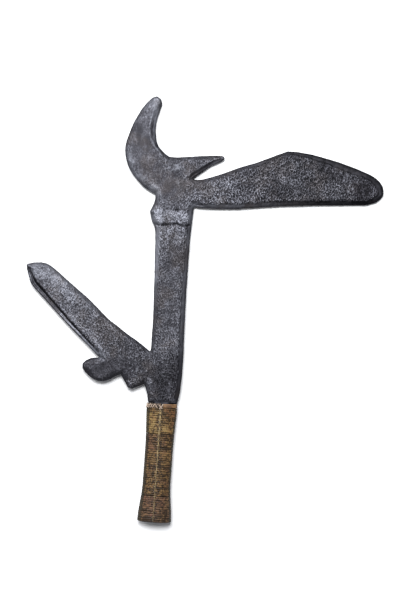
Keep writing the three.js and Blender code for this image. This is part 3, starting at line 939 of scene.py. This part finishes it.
    def _hammer(self, forged: Object, groups: dict[str, Array]) -> None:
        """Hammers the surface: broad blows on the head, fine marks on the bevels and a pitted skin on the flats.

        Args:
            forged: the blade.
            groups: how much of each kind of blow each vertex takes, in order.
        """
        sizes = {
            "head": (self.hammer_mm, self.hammer_depth),
            "drawn": (self.drawn_mm, self.drawn_depth),
            "hammered": (self.peel_mm, self.peel_depth),
        }
        for name, weights in groups.items():
            group = forged.vertex_groups.new(name=name)
            for level in range(1, self.weight_levels + 1):
                members = np.flatnonzero(np.round(weights * self.weight_levels) == level)
                group.add([int(m) for m in members], level / self.weight_levels, "REPLACE")
        for name, (size, depth) in sizes.items():
            blows = bpy.data.textures.new(name + "_blows", "CLOUDS")
            blows.noise_depth = 1
            blows.noise_scale = size * MM
            settings = {"texture_coords": "LOCAL", "strength": depth * MM, "vertex_group": name}
            apply_modifier(forged, "DISPLACE", texture=blows, **settings)

    def _relief(self, forged: Object, start: Array) -> Array:
        """Gives how far each place was raised or sunk by the hammer, from about -1 to 1."""
        moved = ((rows_of(forged.data) - start) * rows_of(forged.data, "normal")).sum(axis=1)
        return np.clip(moved / (self.relief_share * self.peel_depth * MM), -1, 1)

    def _cut_marks(self, forged: Object, knife: Array) -> Array:
        """Cuts the strokes and raises the collar on the front.

        Args:
            forged: the blade.
            knife: rows of knife millimetres, where its vertices were before the hammer.

        Returns:
            How much paler the strokes make each row.
        """
        wander = lumps(knife, self.stroke_wander_mm, seed=11.0)
        gaps = 1 - smoothstep(*self.stroke_gap_fade, lumps(knife, self.stroke_gap_mm, seed=13.0))
        lower = self.collar_low + self.collar_ragged * lumps(knife, self.collar_ragged_mm, seed=17.0)
        collar = smoothstep(*self.collar_low_fade, knife[:, 1] - lower)
        collar *= 1 - smoothstep(*self.collar_high_fade, knife[:, 1] - self.collar_high)
        on_shaft = (knife[:, 0] > self.collar_sides[0]) & (knife[:, 0] < self.collar_sides[1])
        lift = self.collar_rise * collar * on_shaft
        paler = np.zeros(len(knife))
        above = smoothstep(*self.stroke_fade, knife[:, 2])
        for stroke in self.strokes:
            share = stroke.share(knife, wander, gaps)
            lift = lift - stroke.depth * share
            # The strokes' pale and dark lines, some of them painted highlights and painted shade on the bevel lips and
            # in the fold.
            paler = paler + stroke.tone * share * above
        places = self.lay.to_knife(rows_of(forged.data))
        places[:, 2] += lift * smoothstep(*self.cut_fade, knife[:, 2])
        move_to(forged.data, self.lay.to_row(places))
        return paler

    def _tone(self, knife: Array, inset: Array, margin: Array, wander: Array) -> Array:
        """Gives how pale the iron is without its strokes.

        Args:
            knife: rows of knife millimetres.
            inset: how far in from the edge each is.
            margin: how much wider the bevel is there than elsewhere.
            wander: how far the bounds stray at each, from about -1 to 1.

        Returns:
            A number from 0 to 1 for each row.
        """
        front = smoothstep(*self.patch_fade, knife[:, 2])
        tone = self.base_tone + patched(self.patches, knife) * front * (1 + self.patch_wander * wander)
        # Painted light and shade on the bevels, dark on the wing's, and painted shade on the thin outer edge.
        bevel = 1 - smoothstep(*self.bevel_fade, inset - self.bevel_inset - margin)
        far = smoothstep(*self.far_fade, knife[:, 0])
        rim = 1 - smoothstep(*self.rim_fade, inset + self.rim_wander * wander)
        return tone - bevel * (self.bevel_painted_shade + self.far_bevel_painted_shade * far) - self.rim_painted_shade * rim


@dataclass
class Grip:
    """The grip's oval, measured on the packing: the place of everything that is wound or laid on it."""

    OVAL_POINTS = 24
    SAME_ROW = 0.06
    lay: Lay
    rows_mm: Array
    middles: Array
    half_widths: Array
    half_thicknesses: Array

    @classmethod
    def from_packing(cls, lay: Lay, nodes: Iterable[Object]) -> "Grip":
        """Measures the oval at each row of the packing's points.

        Args:
            lay: how the knife lies.
            nodes: the packing's two halves.

        Returns:
            The grip.
        """
        knife = np.vstack([lay.to_knife(rows_of(node.data)) for node in nodes])
        rows = np.unique(np.round(knife[:, 1], 1))
        kept = []
        for row in rows:
            ring = knife[np.abs(knife[:, 1] - row) < cls.SAME_ROW]
            if len(np.unique(np.round(ring, 2), axis=0)) < cls.OVAL_POINTS:
                continue
            left, right = ring[:, 0].min(), ring[:, 0].max()
            kept.append((row, (left + right) / 2, (right - left) / 2, np.abs(ring[:, 2]).max()))
        return cls(lay, *np.array(kept).T)

    def span(self, node: Object) -> tuple[float, float]:
        """Gives a node's top and foot along the grip."""
        knife = self.lay.to_knife(rows_of(node.data))
        return knife[:, 1].max(), knife[:, 1].min()

    def at(self, turn: Array, y: Array, outside: Array) -> Array:
        """Gives rows of knife millimetres on the oval. A quarter turn is the middle of the front.

        Args:
            turn: how far round, in turns.
            y: the distance along the grip.
            outside: the distance outside the packing.

        Returns:
            Rows of knife millimetres.
        """
        angle = 2 * math.pi * np.asarray(turn)
        middle, width, thickness = (
            np.interp(y, self.rows_mm, sizes) for sizes in (self.middles, self.half_widths, self.half_thicknesses)
        )
        x, z = middle + (width + outside) * np.cos(angle), (thickness + outside) * np.sin(angle)
        return np.stack(np.broadcast_arrays(x, y, z), axis=-1)

    def front(self, x: Array, y: Array, outside: Array) -> Array:
        """Gives rows on the front of the oval at a distance to the right of the knife's middle."""
        middle, width = (np.interp(y, self.rows_mm, sizes) for sizes in (self.middles, self.half_widths))
        return self.at(np.arccos((x - middle) / (width + outside)) / (2 * math.pi), y, outside)


def rolled_tube(name: str, rings_m: Array) -> Object:
    """Models a closed tube as by hand: a grid is rolled round, its long edges are merged and its ends filled.

    Args:
        name: the piece's name.
        rings_m: metres, with one ring of points for each step along the tube.

    Returns:
        The tube, with its map in metres along and across.
    """
    steps, sides = rings_m.shape[0] - 1, rings_m.shape[1]
    bpy.ops.object.select_all(action="DESELECT")
    bpy.ops.mesh.primitive_grid_add(x_subdivisions=steps, y_subdivisions=sides, size=1, calc_uvs=True)
    tube = bpy.context.object
    tube.name = name
    grid = rows_of(tube.data)
    along = np.round((grid[:, 0] + 0.5) * steps).astype(int)
    around = np.round((grid[:, 1] + 0.5) * sides).astype(int) % sides
    move_to(tube.data, rings_m[along, around])
    length = np.linalg.norm(np.diff(rings_m.mean(axis=1), axis=0), axis=1).sum()
    middle = rings_m[steps // 2]
    girth = np.linalg.norm(middle - np.roll(middle, 1, axis=0), axis=1).sum()
    layer = tube.data.uv_layers.active
    flat = np.empty(len(layer.data) * 2, np.float32)
    layer.data.foreach_get("uv", flat)
    layer.data.foreach_set("uv", (flat.reshape(-1, 2) * (length, girth)).astype(np.float32).ravel())
    only(tube)
    bpy.ops.object.mode_set(mode="EDIT")
    bpy.ops.mesh.select_all(action="SELECT")
    bpy.ops.mesh.remove_doubles(threshold=SEAM_GAP * MM)
    bpy.ops.mesh.select_all(action="SELECT")
    bpy.ops.mesh.fill_holes(sides=0)
    bpy.ops.mesh.select_all(action="SELECT")
    bpy.ops.mesh.normals_make_consistent(inside=False)
    bpy.ops.object.mode_set(mode="OBJECT")
    bpy.ops.object.shade_smooth()
    return tube


def joined(name: str, parts: list[Object]) -> Object:
    """Joins parts to one piece.

    Args:
        name: its name.
        parts: the parts.

    Returns:
        The piece.
    """
    bpy.ops.object.select_all(action="DESELECT")
    for part in parts:
        part.select_set(True)
    bpy.context.view_layer.objects.active = parts[0]
    bpy.ops.object.join()
    whole = bpy.context.object
    whole.name = name
    whole.data.name = name
    return whole


def cord_rings(path: Array, up: Array, radius: Array | float) -> Array:
    """Gives the rings of a round cord along a path.

    Args:
        path: rows of millimetres.
        up: rows that point out of the surface that the cord lies on.
        radius: its radius, the same all along or one for each row.

    Returns:
        One ring of points for each row of the path.
    """
    way = np.gradient(path, axis=0)
    way /= np.linalg.norm(way, axis=1, keepdims=True)
    side = np.cross(way, up)
    side /= np.linalg.norm(side, axis=1, keepdims=True)
    top = np.cross(side, way)
    angles = 2 * math.pi * np.arange(CORD_SIDES) / CORD_SIDES
    radii = np.broadcast_to(np.asarray(radius, float), len(path))[:, None, None]
    ring = np.cos(angles)[None, :, None] * side[:, None] + np.sin(angles)[None, :, None] * top[:, None]
    return path[:, None] + radii * ring


class Stretch(Enum):
    """The three bindings of the grip, from the top down."""

    UPPER = "upper_binding"
    MIDDLE = "middle_binding"
    FOOT = "foot_binding"


@dataclass
class Binding:
    """A length of split cane wound down the grip, with two strands side by side in each row.

    The rows run level over the front and fall to the next over the back. Both ends of the winding go on behind
    the first and last row, where they are trimmed to the binding's edge.
    """

    grip: Grip
    stretch: Stretch
    row_width: float = 3.6
    row_spacing: float = 0.7
    thickness: float = 1.3
    fit_gap: float = 0.3
    sides: int = 10
    steps_per_turn: int = 72
    noise_per_turn: float = 60.0
    half_apart: float = 0.25
    apart_play: float = 0.008
    overlap: float = 0.05
    least_play: float = 0.25
    waver: float = 0.26
    waver_mm: float = 9.0
    width_play: float = 0.05
    width_mm: float = 14.0
    crush: float = 0.08
    crush_mm: float = 6.0
    lift: float = 0.08
    lift_mm: float = 11.0
    least_width: float = 0.35
    tuck: float = 5.0
    tucked_thickness: float = 0.3
    spread: float = 0.12
    base_tone: float = 0.46
    shade_play: float = 0.3
    speckle: float = 0.35
    speckle_mm: float = 3.0
    rubbed_calm: float = 0.6
    rubbed_clean: float = 0.45
    # Where the painted shade down the grip's rounded right and left sides starts and is full, on the cosine of the way
    # round; it reaches further in on the left.
    painted_right_shade: Fade = (0.78, 0.92)
    painted_left_shade: Fade = (0.66, 0.84)
    # Dirt and bright strands. The broad dark patch on the upper right is painted shade,
    # and the thin dark strip just right of the seam is a painted shadow of the seam.
    stains: tuple[Patch, ...] = ovals(
        (-8, -3, 8, 4.5, -0.5), (-7, -16, 8, 11, 0.22), (7, -14, 7, 9, -0.45), (2.1, -40, 1.2, 60, -0.3),
        (-2.6, -60, 1.0, 50, -0.15), (9, -11, 5, 3, 0.18), (8, -27.5, 6, 2.6, 0.3), (-9, -50, 6, 16, 0.04),
        (-7, -78, 8, 12, -0.1), (9, -36, 4, 2.4, -0.4), (7, -43.5, 6, 2.0, -0.4), (6, -53, 6, 5, 0.05),
        (8, -62, 6, 2.2, -0.35), (-4, -63, 8, 2.4, -0.3), (9, -71, 5, 2.4, -0.35), (4, -84, 7, 4, -0.15),
        (-7, -105, 8, 10, -0.1), (9, -105, 5, 10, -0.14), (0, -85, 16, 9, -0.12), (6, -23.6, 7, 0.8, 0.4),
        (0, -94.8, 20, 1.0, 0.35), (-11, -108, 6, 2.5, -0.25), (-9, -112, 1.8, 1.6, 0.6), (0, -115, 16, 3.5, -0.45),
    )
    # Where the hand polished the strands clean and even.
    worn: tuple[Patch, ...] = ovals(
        (-5, -16, 11, 13, 0.95), (7, -14, 7, 11, 0.75), (-6, -84, 7, 11, 0.7), (6, -85, 7, 9, 0.6),
        (-4, -101, 7, 8, 0.65), (4, -100, 5, 8, 0.55),
    )
    # Where the cane has turned red.
    aged: tuple[Patch, ...] = ovals(
        (9, -13, 8, 9, 0.9), (-8, -38, 6, 8, 0.6), (-3, -104, 12, 10, 0.5),
    )

    def build(self, node: Object, finish: Material) -> Object:
        """Winds and dresses the binding.

        Args:
            node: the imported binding, whose box gives its top and foot.
            finish: its material.

        Returns:
            The wound strands as one piece.
        """
        top, foot = self.grip.span(node)
        strands = [self._strand(top, foot, number) for number in range(2)]
        wound = joined("wound_" + self.stretch.value, strands)
        return finish_piece(wound, finish, "split_cane", self.stretch.value)

    def _strand(self, top: float, foot: float, number: int) -> Object:
        """Winds one strand of the pair.

        Args:
            top: the binding's top edge.
            foot: its lower edge.
            number: 0 for the upper strand of each row, or 1 for the lower one.

        Returns:
            The strand.
        """
        rows = 1 + math.floor((top - foot - self.row_width) / (self.row_width + self.row_spacing))
        pitch = (top - foot - self.row_width) / (rows - 1)
        wound = np.arange(-self.steps_per_turn // 2, rows * self.steps_per_turn + 1) / self.steps_per_turn
        down = np.floor(wound) + smoothstep(0.5, 1.0, wound % 1)
        seed = 7.0 * number + 31.0 * len(self.stretch.value)
        line = along_line(wound * self.noise_per_turn, seed)
        apart = pitch * (self.half_apart - self.apart_play * np.cos(2 * math.pi * wound))
        middle = top - self.row_width / 2 - down * pitch + (apart if number == 0 else -apart)
        play = self.least_play + (1 - self.least_play) * np.abs(np.sin(2 * math.pi * wound))
        middle = middle + self.waver * play * lumps(line, self.waver_mm, seed=seed)
        width = pitch / 2 + self.overlap
        width = width * (1 + self.width_play * play * lumps(line, self.width_mm, seed=seed + 5))
        upper = np.minimum(middle + width / 2, top + self.spread)
        lower = np.maximum(middle - width / 2, foot - self.spread)
        kept = upper - lower > self.least_width
        wound, line, upper, lower, play = (values[kept] for values in (wound, line, upper, lower, play))
        step = np.arange(len(wound))
        tucked = smoothstep(-1, self.tuck, np.minimum(step, step[::-1]))
        crushed = self.crush * play * (1 + lumps(line, self.crush_mm, seed=seed + 9)) / 2
        thickness = self.thickness * (1 - crushed)
        thickness = thickness * (self.tucked_thickness + (1 - self.tucked_thickness) * tucked)
        lift = self.lift * np.maximum(lumps(line, self.lift_mm, seed=seed + 13), 0)
        across, out = flat_section(self.sides)
        y = ((upper + lower) / 2)[:, None] + ((upper - lower) / 2)[:, None] * across
        outside = self.fit_gap + thickness[:, None] * out + lift[:, None] * (out > 0.5)
        rings = self.grip.at(wound[:, None], y, outside)
        strand = rolled_tube(f"{self.stretch.value}_strand_{number}", self.grip.lay.to_row(rings))
        edge = np.where(out > 0.2, np.abs(across), 1.0)
        self._mark(strand, rings, edge, wound, line, seed)
        return strand

    def _mark(self, strand: Any, rings: Array, edge: Array, wound: Array, line: Array, seed: float) -> None:
        """Keeps how near its edge each place is, plus painted shade on the grip's sides, and how pale and aged it is.

        Args:
            strand: the strand.
            rings: its rings of knife millimetres.
            edge: how near the strand's edge each point of a ring is, from 0 to 1.
            wound: how many turns down each ring is.
            line: where its noise is read at each ring.
            seed: the strand's own seed.
        """
        sides = rings.shape[1]
        tree = tree_of(list(self.grip.lay.to_row(rings).reshape(-1, 3)))
        found = np.array([tree.find(v.co)[1] for v in strand.data.vertices])
        step = found // sides
        quarter = np.floor(4 * wound[step]) + seed
        shade = np.array([noise.noise(Vector((value * 3.7, seed, 0.5))) for value in quarter])
        places = rings.reshape(-1, 3)[found]
        rubbed = np.clip(patched(self.worn, places), 0, 1) * (places[:, 2] > 0)
        tone = self.base_tone + self.shade_play * shade * (1 - self.rubbed_calm * rubbed)
        tone = tone + self.speckle * lumps(line, self.speckle_mm, seed=seed + 21)[step]
        # Painted shade down the grip's rounded sides, put into the edge mask, which takes the cane's dirt colour.
        sideways = np.cos(2 * math.pi * wound[step])
        painted_side_shade = np.maximum(smoothstep(*self.painted_right_shade, sideways), smoothstep(*self.painted_left_shade, -sideways))
        mark(strand.data, "edge", np.maximum(edge[found % sides] * (1 - self.rubbed_clean * rubbed), painted_side_shade))
        mark(strand.data, "tone", tone + patched(self.stains, places))
        mark(strand.data, "aged", patched(self.aged, places))


@dataclass
class CollarBand:
    """The hide band round the top of the grip: shrunk on, with rolled edges and a few creases."""

    grip: Grip
    thickness: float = 1.15
    fit_gap: float = 0.3
    spread: float = 0.2
    slit: float = 0.012
    steps: int = 160
    sides: int = 14
    noise_per_turn: float = 80.0
    crease: float = 0.12
    crease_mm: float = 5.0
    waver: float = 0.1
    waver_mm: float = 9.0
    soil: float = 0.85
    soil_fade: Fade = (-2.5, 1.0)

    def build(self, node: Object, finish: Material) -> Object:
        """Models and dresses the band.

        Args:
            node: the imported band, whose box gives its top and foot.
            finish: its material.

        Returns:
            The band.
        """
        top, foot = self.grip.span(node)
        turn = 0.25 + np.clip(np.arange(self.steps + 1) / self.steps, self.slit, 1 - self.slit)
        across, out = flat_section(self.sides)
        line = along_line(turn * self.noise_per_turn, 0.0)
        crease = self.crease * lumps(line, self.crease_mm, seed=41.0)
        waver = self.waver * lumps(line, self.waver_mm, seed=43.0)
        half = (top - foot) / 2 + self.spread
        y = (top + foot) / 2 + self.spread + half * across[None] + waver[:, None]
        outside = self.fit_gap + (self.thickness - self.crease + crease[:, None]) * out[None]
        band = rolled_tube("hide_band", self.grip.lay.to_row(self.grip.at(turn[:, None], y, outside)))
        right = self.grip.lay.to_knife(rows_of(band.data))[:, 0]
        # The band is darker on its left part, under the lacing and round its left side.
        mark(band.data, "soil", self.soil * (1 - smoothstep(*self.soil_fade, right)))
        return finish_piece(band, finish, "collar_hide", "collar_band")


@dataclass
class Stitching:
    """Everything of pale cord: the seam down the front, its knot and the zigzag lacing at the top."""

    grip: Grip
    outside: float = 1.9
    seam_x: float = -0.4
    wander: float = 0.45
    wander_mm: float = 16.0
    ply_radius: float = 0.42
    ply_play: float = 0.5
    ply_turns: float = 1.4
    ply_apart: float = 0.75
    radius_shares: tuple[float, float, float] = (0.5, 0.68, 1.6)
    end_radius_share: float = 0.6
    stitch_length: float = 5.2
    stitch_gap: float = 0.02
    stitch_steps: int = 19
    ply_rise: float = 0.9
    ply_depth: float = 0.5
    arch_height: float = 0.35
    arch_fullness: float = 0.6
    hitch_radius: float = 0.3
    hitch_half_length: float = 1.3
    hitch_play: float = 0.5
    hitch_rise: float = 0.1
    hitch_height: float = 0.9
    hitch_slant: float = 0.4
    hitch_steps: int = 9
    knot_reach: tuple[float, float] = (2.3, 1.9)
    knot_drop: float = 0.2
    knot_shorter: float = 0.3
    knot_meet_fade: Fade = (0.0, 0.75)
    knot_cross: float = 0.45
    knot_cross_fade: Fade = (0.6, 1.0)
    knot_rise: float = 0.35
    knot_arch: float = 0.5
    knot_radius: float = 0.62
    knot_taper: float = 0.12
    knot_steps: int = 15
    wraps: int = 3
    wrap_radius: float = 0.42
    wrap_first: float = 0.75
    wrap_pitch: float = 0.85
    wrap_slant: float = 0.25
    wrap_taper: float = 0.12
    wrap_sink: float = 0.1
    wrap_flatness: float = 2.4
    wrap_half_length: float = 1.35
    wrap_height: float = 1.45
    wrap_steps: int = 11
    lace_radius: float = 0.55
    thin_share: float = 0.45
    thin_inset: float = 0.12
    thin_rise: float = 0.25
    lace_zigzags: int = 3
    lace_turns: tuple[float, float] = (0.295, 0.455)
    lace_steps: int = 30

    def build(self, nodes: dict[str, Object], seam: Any, lace: Any) -> list[Object]:
        """Models and dresses the seam, the knot and the lacing.

        Args:
            nodes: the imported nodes.
            seam: the seam's material.
            lace: the knot's and lacing's material.

        Returns:
            The three pieces.
        """
        return [
            finish_piece(self._seam(nodes["seam_cord"]), seam, "bast_cord", "seam_cord"),
            finish_piece(self._knot(nodes["seam_knot"]), lace, "bast_cord", "seam_knot"),
            finish_piece(self._lacing(nodes["collar_lacing"]), lace, "bast_cord", "collar_lacing"),
        ]

    def _tube(self, name: str, x: Array, y: Array, outside: Array, radius: Array | float) -> Object:
        """Models a round cord that lies on the front of the grip.

        Args:
            name: the part's name.
            x: how far to the right of the knife's middle each step of its path is.
            y: how far up each is.
            outside: how far outside the packing each is.
            radius: the cord's radius, the same all along or one for each step.

        Returns:
            The cord.
        """
        path = self.grip.front(x, y, outside)
        up = self.grip.front(x, y, outside + 1.0) - path
        return rolled_tube(name, self.grip.lay.to_row(cord_rings(path, up, radius)))

    def _seam_line(self, y: Array) -> Array:
        """Gives how far right of the middle the seam runs at each height."""
        return self.seam_x + self.wander * lumps(along_line(y, 0.0), self.wander_mm, seed=51.0)

    def _seam(self, node: Object) -> Object:
        """Models the seam: arched stitches of two twisted plies, with a thin hitch over each dip between them.

        Args:
            node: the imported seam.

        Returns:
            The seam.
        """
        top, foot = self.grip.span(node)
        ends = np.linspace(top, foot, round((top - foot) / self.stitch_length) + 1)
        share = np.linspace(0, 1, self.stitch_steps)
        arch = np.sin(math.pi * share) ** self.arch_fullness
        arched = self.end_radius_share + (1 - self.end_radius_share) * arch
        parts = []
        for number, (start, end) in enumerate(zip(ends, ends[1:])):
            chance = noise.noise(Vector((number * 1.7, 3.0, 0.0)))
            y = start + (end - start) * (self.stitch_gap + (1 - 2 * self.stitch_gap) * share)
            full = np.interp(y, (foot, (top + foot) / 2, top), self.radius_shares)
            radius = self.ply_radius * (1 + self.ply_play * chance) * arched * full
            for ply in range(2):
                phase = 2 * math.pi * (self.ply_turns * share + 0.5 * ply + chance)
                x = self._seam_line(y) + self.ply_apart * radius * np.cos(phase)
                outside = self.outside + radius * (self.ply_rise + self.ply_depth * np.sin(phase))
                outside = outside + self.arch_height * arch
                parts.append(self._tube(f"stitch_{number}_{ply}", x, y, outside, radius))
        span = np.linspace(-1, 1, self.hitch_steps)
        outside = self.outside + self.hitch_rise + self.hitch_height * (1 - span**2)
        for number, middle in enumerate(ends[1:-1]):
            chance = noise.noise(Vector((number * 2.3, 9.0, 0.0)))
            half = self.hitch_half_length + self.hitch_play * chance
            x = self._seam_line(np.full(self.hitch_steps, middle)) + half * span
            y = middle + (self.hitch_slant + chance) * span
            parts.append(self._tube(f"hitch_{number}", x, y, outside, self.hitch_radius))
        return joined("stitched_seam", parts)

    def _knot(self, node: Object) -> Object:
        """Models the knot: two arms that come down from the top edge, cross and are bound by wraps.

        Args:
            node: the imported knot.

        Returns:
            The knot.
        """
        top, foot = self.grip.span(node)
        share = np.linspace(0, 1, self.knot_steps)
        parts = []
        for side, reach in zip((-1, 1), self.knot_reach):
            y = top - self.knot_drop - share * (top - foot - self.knot_shorter)
            x = self.seam_x + side * reach * (1 - smoothstep(*self.knot_meet_fade, share))
            x = x - side * self.knot_cross * smoothstep(*self.knot_cross_fade, share)
            outside = self.outside + self.knot_rise + self.knot_arch * np.sin(math.pi * share)
            parts.append(self._tube(f"knot_arm_{side}", x, y, outside, self.knot_radius - self.knot_taper * share))
        span = np.linspace(-1, 1, self.wrap_steps)
        outside = self.outside - self.wrap_sink + self.wrap_height * (1 - np.abs(span) ** self.wrap_flatness)
        for number in range(self.wraps):
            y = foot + self.wrap_first + self.wrap_pitch * number + self.wrap_slant * span
            x = self.seam_x + (self.wrap_half_length - self.wrap_taper * number) * span
            parts.append(self._tube(f"knot_wrap_{number}", x, y, outside, self.wrap_radius))
        return joined("seam_start_knot", parts)

    def _lacing(self, node: Object) -> Object:
        """Models the lace: a cord that zigzags over the band, and a thinner one that crosses it.

        Args:
            node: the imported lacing.

        Returns:
            The lacing.
        """
        top, foot = self.grip.span(node)
        top, foot = top - self.lace_radius, foot + self.lace_radius
        share = np.linspace(0, 1, self.lace_steps * self.lace_zigzags)
        turn = self.lace_turns[0] + (self.lace_turns[1] - self.lace_turns[0]) * share
        parts = []
        for number, radius in enumerate((self.lace_radius, self.thin_share * self.lace_radius)):
            swing = np.arcsin(np.sin(math.pi * (2 * self.lace_zigzags * share + number - 0.5))) / (math.pi / 2)
            y = (top + foot) / 2 + (top - foot) / 2 * swing * (1 - self.thin_inset * number)
            outside = self.outside + radius + self.thin_rise * number
            path = self.grip.at(turn, y, outside)
            up = self.grip.at(turn, y, outside + 1.0) - path
            parts.append(rolled_tube(f"lace_{number}", self.grip.lay.to_row(cord_rings(path, up, radius))))
        return joined("zigzag_lacing", parts)


@dataclass(frozen=True)
class Lamp:
    """A round soft light that points at the middle of the knife. Sizes and places are metres."""

    name: str
    at: tuple[float, float, float]
    size: float
    power: float

    def hang(self) -> None:
        """Adds the light to the scene."""
        light = bpy.data.lights.new(self.name, "AREA")
        light.shape = "DISK"
        light.size = self.size
        light.energy = self.power
        lamp = bpy.data.objects.new(self.name, light)
        bpy.context.scene.collection.objects.link(lamp)
        lamp.location = self.at
        lamp.rotation_mode = "QUATERNION"
        lamp.rotation_quaternion = (-lamp.location).to_track_quat("-Z", "Y")


@dataclass
class Studio:
    """The pale floor, a large window, a softbox over the top of the knife and the camera straight above."""

    lay: Lay
    image_width: int = 400
    image_height: int = 599
    origin_pixel: tuple[float, float] = (161.7, 402.7)
    roll_deg: float = 4.0
    mm_per_pixel: float = 1.0
    distance: float = 2200.0
    sensor: float = 36.0
    floor_size_m: float = 16.0
    clip_end_m: float = 100.0
    lamps: tuple[Lamp, ...] = (
        Lamp("window", (-3.45, 3.0, 3.3), 3.9, 90.0),
        Lamp("softbox", (-0.45, 2.15, 5.7), 2.3, 418.0),
    )
    window_way: tuple[float, float] = (-1.15, 1.0)
    sky_colour: str = "#f7f8fb"
    wall_strength: float = 0.5
    ceiling_strength: float = 0.3
    wall_top: float = 0.55
    ceiling_edge: float = 0.95
    side_span: Span = (-0.55, 0.55, 0.45, 1.0)
    filter_width: float = 1.25

    def build(self) -> None:
        """Makes the floor, the lights, the sky and the camera."""
        self._floor()
        for lamp in self.lamps:
            lamp.hang()
        self._sky()
        self._camera()
        bpy.context.scene.view_settings.view_transform = "Standard"
        bpy.context.scene.cycles.filter_width = self.filter_width

    def _floor(self) -> None:
        """Makes the floor."""
        bpy.ops.object.select_all(action="DESELECT")
        bpy.ops.mesh.primitive_plane_add(size=self.floor_size_m, location=(0, 0, 0))
        floor = bpy.context.object
        floor.name = "floor"
        floor.data.materials.append(PaleBoard("pale_board").material())

    def _sky(self) -> None:
        """Makes the pale room: bright walls, a dimmer ceiling, and less light on the side away from the window."""
        world = bpy.data.worlds.new("pale_room")
        bpy.context.scene.world = world
        world.use_nodes = True
        tree = world.node_tree
        add = partial(add_node, tree)
        way = add("TexCoord", output="Generated")
        height = add("SeparateXYZ", [way], "Z")
        window_way = Vector((*self.window_way, 0)).normalized()
        toward = add("VectorMath", [way, window_way], "Value", operation="DOT_PRODUCT")
        levels = [height, self.wall_top, self.ceiling_edge, self.wall_strength, self.ceiling_strength]
        light = add("MapRange", levels, **SOFT)
        side = add("MapRange", [toward, *self.side_span])
        strength = add("Math", [light, side], operation="MULTIPLY")
        feed(tree, tree.nodes["Background"], {"Color": linear(self.sky_colour), "Strength": strength})

    def _camera(self) -> None:
        """Makes the camera, straight above the middle of the photograph's frame."""
        roll = math.radians(self.roll_deg)
        right = self.mm_per_pixel * (self.image_width / 2 - self.origin_pixel[0])
        down = self.mm_per_pixel * (self.image_height / 2 - self.origin_pixel[1])
        across = right * math.cos(roll) + down * math.sin(roll)
        middle = np.array([[across, right * math.sin(roll) - down * math.cos(roll), 0.0]])
        up = self.lay.turn @ np.array([-math.sin(roll), math.cos(roll), 0.0])
        up = Vector((up[0], up[1], 0)).normalized()
        camera = bpy.data.cameras.new("camera")
        camera.sensor_width = self.sensor
        camera.lens = self.sensor * self.distance / (self.image_height * self.mm_per_pixel)
        camera.clip_end = self.clip_end_m
        holder = bpy.data.objects.new("camera", camera)
        bpy.context.scene.collection.objects.link(holder)
        place = Vector(self.lay.to_row(middle)[0]) + Vector((0, 0, self.distance * MM))
        right_way = up.cross(Vector((0, 0, 1)))
        turn = Matrix((right_way, up, Vector((0, 0, 1)))).transposed()
        holder.matrix_world = Matrix.Translation(place) @ turn.to_4x4()
        bpy.context.scene.camera = holder


def dress(node: Object, finish: Material) -> None:
    """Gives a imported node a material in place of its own.

    Args:
        node: the node.
        finish: the material.
    """
    node.data.materials.clear()
    node.data.materials.append(finish)
    logger.info("%s dressed", node.name)


def main() -> None:
    """Builds the knife and its studio in order."""
    logging.basicConfig(level=logging.INFO, format="%(message)s")
    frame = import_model()
    nodes = frame["nodes"]
    lay = Lay.from_record(frame["record"])
    Studio(lay).build()
    Blade(lay).build(nodes["blade"], ForgedIron("forged_iron").material())
    wood = DarkWood("dark_wood").material()
    for name in ("packing_front", "packing_back"):
        dress(nodes[name], wood)
    grip = Grip.from_packing(lay, (nodes["packing_front"], nodes["packing_back"]))
    CollarBand(grip).build(nodes["collar_band"], TannedHide("tanned_hide").material())
    canes = {
        Stretch.UPPER: SplitCane("olive_cane", shade_colour="#362917", light_colour="#8a7348", ruddy_colour="#765336"),
        Stretch.MIDDLE: SplitCane("brown_cane"),
        Stretch.FOOT: SplitCane("red_cane", shade_colour="#2c2016", light_colour="#6f563c"),
    }
    for stretch, cane in canes.items():
        Binding(grip, stretch).build(nodes[stretch.value], cane.material())
    Stitching(grip).build(
        nodes,
        TwistedFibre("seam_fibre").material(),
        TwistedFibre("lace_fibre", groove_colour="#6b5749", fibre_colour="#beab99").material(),
    )


if __name__ == "__main__":
    main()
